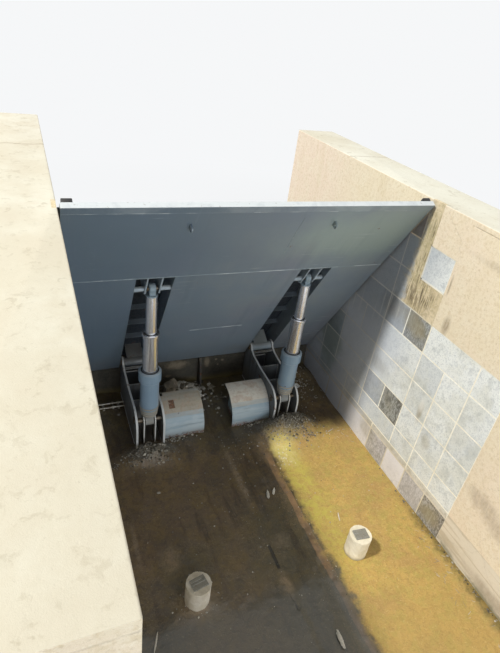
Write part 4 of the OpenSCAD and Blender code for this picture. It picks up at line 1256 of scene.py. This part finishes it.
def buildSeams():
    look = seamLook
    seams = bmesh.new()
    for x1, z1, x2, z2, radius in look["lines"]:
        addBead(seams, (x1, 0, z1), (x2, 0, z2), radius, leafPlace)
    newPiece(seams, "leafSeams", "leaf", "seamPaint", smoothAngle=60)
    half, height, radius = look["underBand"]
    bead = bmesh.new()
    addBead(bead, (-half, -0.001, height), (half, -0.001, height), radius, leafPlace)
    newPiece(bead, "bandBead", "leaf", "seamPaint", smoothAngle=60)
    stops = bmesh.new()
    x1, x2, y1, y2, z1, z2 = look["stop"]
    for sign in (-1, 1):
        xs = sorted((sign * x1, sign * x2))
        addBox(stops, (xs[0], y1, z1), (xs[1], y2, z2), leafPlace, bevel=0.005)
    newPiece(stops, "cornerStops", "leaf", "rubber")
    clamps = bmesh.new()
    y1, y2, z1, z2 = look["clamp"]
    addBox(clamps, (-1.45, y1, z1), (1.45, y2, z2), leafPlace, bevel=0.001)
    for i in range(look["clampBolts"]):
        x = -1.38 + 2.76 * i / (look["clampBolts"] - 1)
        addBolt(clamps, leafPlace @ facingZ((x, y2, (z1 + z2) / 2), (0, 1, 0)), 0.010)
    newPiece(clamps, "sealClamps", "leaf", "ribPaint")


buildSeams()
print("leaf seams and clamps placed")


# Jack bands and wipers, keeper plates at the pins
jackLook = {
    "bands": ((0.096, 0.0750), (0.122, 0.0786), (0.148, 0.0822), (0.190, 0.0902)), "bandProud": 0.0065,
    "bandHeight": 0.011,
    "barrelWiper": (0.0735, 0.0850, 0.6225, 0.0035), "stageWiper": (0.0515, 0.0580, 1.0265, 0.0055),
}


def buildJackParts(side):
    look = jackLook
    place = jackPlace(side)
    bands = bmesh.new()
    h = look["bandHeight"]
    for z, r in look["bands"]:
        r += look["bandProud"]
        addRing(bands, ((r - 0.004, z), (r - 0.0005, z), (r, z + 0.001), (r, z + h - 0.001), (r - 0.0005, z + h),
                        (r - 0.004, z + h)), place)
    newPiece(bands, side + "BarrelBands", side + "_jack_barrel", "bandMud")
    for part in ("barrel", "stage"):
        inner, outer, z, height = look[part + "Wiper"]
        ring = bmesh.new()
        addRing(ring, ((inner, z), (outer, z), (outer, z + height * 0.6), (outer - 0.002, z + height),
                       (inner + 0.003, z + height), (inner, z + height * 0.5)), place)
        newPiece(ring, side + part.title() + "Wiper", side + "_jack_" + part, "rubber")


keeperLook = {
    "plates": ((1.300, 0.8435, 0.075, 0.026), (0.570, 0.6370, 0.062, 0.022)),  # place, length and height
    "thick": 0.004, "bolt": 0.0052, "outside": 0.145,
}


def buildKeepers(side):
    look = keeperLook
    keepers = bmesh.new()
    middle = sides[side] * site["foot"].x
    for out in (-1, 1):
        face = middle + out * look["outside"]
        for y, z, long, high in look["plates"]:
            xs = sorted((face - out * 0.001, face + out * look["thick"]))
            addBox(keepers, (xs[0], y - long / 2, z - high / 2), (xs[1], y + long / 2, z + high / 2), bevel=0.001)
            for step in (-0.34, 0.34):
                addBolt(keepers, facingZ((face + out * look["thick"], y + step * long, z), (out, 0, 0)), look["bolt"])
    newPiece(keepers, side + "Keepers", "works", "pin")


for side in sides:
    buildJackParts(side)
    buildKeepers(side)
print("jack parts and keepers placed")


# Welds at the brackets, clamps on the pipes, plates on the rests and a loose grid
fittingLook = {
    "welds": (  # out from the jack's middle line, from and to, radius
        (0.1245, 0.46, 1.30, 0.0045), (0.0375, 0.520, 0.620, 0.004)),
    "weldHeight": 0.3205, "pipeClamps": (-1.36, -1.12, -0.96), "pipeNut": -1.030,
    "pads": {  # centre, turn in degrees, and plates from and to
        "left": ((-0.750, -1.180, 0.545), 12, (
            ((-0.054, -0.006, -0.001), (0.054, 0.006, 0.004), 0.001),
            ((-0.052, 0.018, -0.001), (0.030, 0.036, 0.0015), 0.0005))),
        "right": ((0.685, -1.180, 0.545), -6, (
            ((-0.048, -0.040, -0.001), (0.044, -0.018, 0.003), 0.001),
            ((-0.048, 0.006, -0.001), (0.010, 0.034, 0.002), 0.001)))},
    "grid": (1.130, 0.370, 0.100, 0.096, 0.064),  # across, downstream, height, width and length
    "gridTurns": (24, 10), "bars": (5, 4), "bar": 0.004,  # half a bar's width
}


def buildBracketWelds(side):
    look = fittingLook
    welds = bmesh.new()
    middle, z = sides[side] * site["foot"].x, look["weldHeight"]
    for out in (-1, 1):
        for away, start, end, radius in look["welds"]:
            x = middle + out * away
            addBead(welds, (x, start, z), (x, end, z), radius, Matrix())
    newPiece(welds, side + "BracketWelds", "works", "bracketPaint", smoothAngle=60)


def buildFittings():
    look = fittingLook
    low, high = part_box("feed_pipes")
    radius = (high.z - low.z) / 2
    clamps = bmesh.new()
    for y in (low.y + radius, high.y - radius):
        for x in look["pipeClamps"]:
            addRing(clamps, ((radius - 0.001, -0.011), (radius + 0.003, -0.011), (radius + 0.003, 0.011),
                             (radius - 0.001, 0.011)), facingZ((x, y, low.z + radius), (1, 0, 0)), 24)
        addRod(clamps, radius * 1.7, 0.022, facingZ((look["pipeNut"], y, low.z + radius), (1, 0, 0)), segments=6,
               bevel=0.001)
    for x in look["pipeClamps"]:
        addBox(clamps, (x - 0.012, low.y - 0.012, low.z - 0.012), (x + 0.012, high.y + 0.012, low.z + 0.001),
               bevel=0.001)
    newPiece(clamps, "pipeClamps", "works", "pipe")
    plates = bmesh.new()
    for at, turn, boxes in (look["pads"][side] for side in sides):
        place = Matrix.Translation(at) @ Matrix.Rotation(math.radians(turn), 4, "Z")
        for start, end, bevel in boxes:
            addBox(plates, start, end, place, bevel=bevel)
    newPiece(plates, "padPlates", "works", "padPaint")
    grid = bmesh.new()
    x, distance, height, wide, long = look["grid"]
    turn, tilt = (math.radians(angle) for angle in look["gridTurns"])
    place = Matrix.Translation(downstream(x, distance, height)) @ Matrix.Rotation(turn, 4, "Z")
    place = place @ Matrix.Rotation(tilt, 4, "X")
    bar = look["bar"]
    for count, span, lift in zip(look["bars"], (wide, long), (0, 0.0002)):
        for i in range(count):
            cross = (i / (count - 1) - 0.5) * (span - 2 * bar)
            low, high = (cross - bar, -long / 2, lift), (cross + bar, long / 2, lift + 0.003)
            if lift:
                low, high = (-wide / 2, cross - bar, lift), (wide / 2, cross + bar, lift + 0.003)
            addBox(grid, low, high, place, bevel=0.0008, segments=1)
    newPiece(grid, "looseGrid", "works", "grid")


buildBracketWelds("left")
buildBracketWelds("right")
buildFittings()
print("fittings placed")


# Camera, lights, floor and backdrop
cameraLook = {
    "at": (-1.615, -3.165, 4.1347),
    "right": (0.92161405, -0.36765297, 0.12433358),
    "up": (0.09654336, 0.52746123, 0.84407584),
    "lens": 27.626, "sensor": 36.0,
}


def placeCamera():
    look = cameraLook
    right, up = Vector(look["right"]), Vector(look["up"])
    back = right.cross(up)
    turn = Matrix((right, up, back)).transposed().to_4x4()
    data = bpy.data.cameras.new("camera")
    data.lens = look["lens"]
    data.sensor_width = look["sensor"]
    data.clip_end = 200
    camera = bpy.data.objects.new("camera", data)
    camera.matrix_world = Matrix.Translation(look["at"]) @ turn
    bpy.context.scene.collection.objects.link(camera)
    bpy.context.scene.camera = camera


lightLook = {
    "key": {"at": (-13.2, -1.65, 19.8), "size": 2.0, "power": 5300, "colour": (1.0, 0.985, 0.95)},
    "fill": {"at": (2.0, -14.0, 3.5), "size": 7.0, "power": 620, "colour": (0.93, 0.97, 1.0)},
    "back": {"at": (3.0, 12.0, 10.0), "size": 6.0, "power": 400, "colour": (1.0, 1.0, 1.0)},
    "aim": (0.0, 0.0, 1.0), "sky": 0.34, "skyColour": (0.95, 0.975, 1.0), "backdrop": (0.92, 0.93, 0.94),
    "ground": (0.80, 0.81, 0.82),
}


def placeLights():
    look = lightLook
    for name in ("key", "fill", "back"):
        lamp = look[name]
        data = bpy.data.lights.new(name, "AREA")
        data.shape = "DISK"
        data.size = lamp["size"]
        data.energy = lamp["power"]
        data.color = lamp["colour"]
        light = bpy.data.objects.new(name, data)
        away = Vector(lamp["at"]) - Vector(look["aim"])
        light.matrix_world = facingZ(lamp["at"], away.normalized())
        bpy.context.scene.collection.objects.link(light)
    world = bpy.data.worlds.new("sky")
    bpy.context.scene.world = world
    world.use_nodes = True
    tree = world.node_tree
    shine = tree.nodes["Background"]
    paths = add(tree, "LightPath").outputs
    camera, glossy, clear = (Field(paths[name]) for name in ("Is Camera Ray", "Is Glossy Ray", "Is Transmission Ray"))
    seen = highest(camera, highest(glossy, clear))
    feed(shine.inputs["Color"], blendColour(seen, (*look["skyColour"], 1.0), (*look["backdrop"], 1.0)))
    feed(shine.inputs["Strength"], blendValue(seen, look["sky"], 1.0))


def placeStage():
    ground = bmesh.new()
    bmesh.ops.create_circle(ground, cap_ends=True, segments=96, radius=70.0)
    bmesh.ops.translate(ground, vec=(0, 0, -0.002), verts=ground.verts)
    mesh = bpy.data.meshes.new("stageFloor")
    ground.to_mesh(mesh)
    ground.free()
    stage = bpy.data.objects.new("stageFloor", mesh)
    bpy.context.scene.collection.objects.link(stage)
    coat = Coat("stagePlain", base=(*lightLook["ground"], 1.0))
    far = spread(vectorMath("LENGTH", coat.where, output="Value"), 2.5, 13.0)
    far = far * Field(add(coat.tree, "LightPath").outputs["Is Camera Ray"])
    coat.lay(far, (0, 0, 0, 1))
    mesh.materials.append(coat.done(Roughness=1.0, Specular_IOR_Level=0.0, Emission_Strength=far,
                                    Emission_Color=(*lightLook["backdrop"], 1.0)))


placeCamera()
placeLights()
placeStage()
view = bpy.context.scene.view_settings
view.view_transform = "Standard"
print("camera, lights and stage placed")
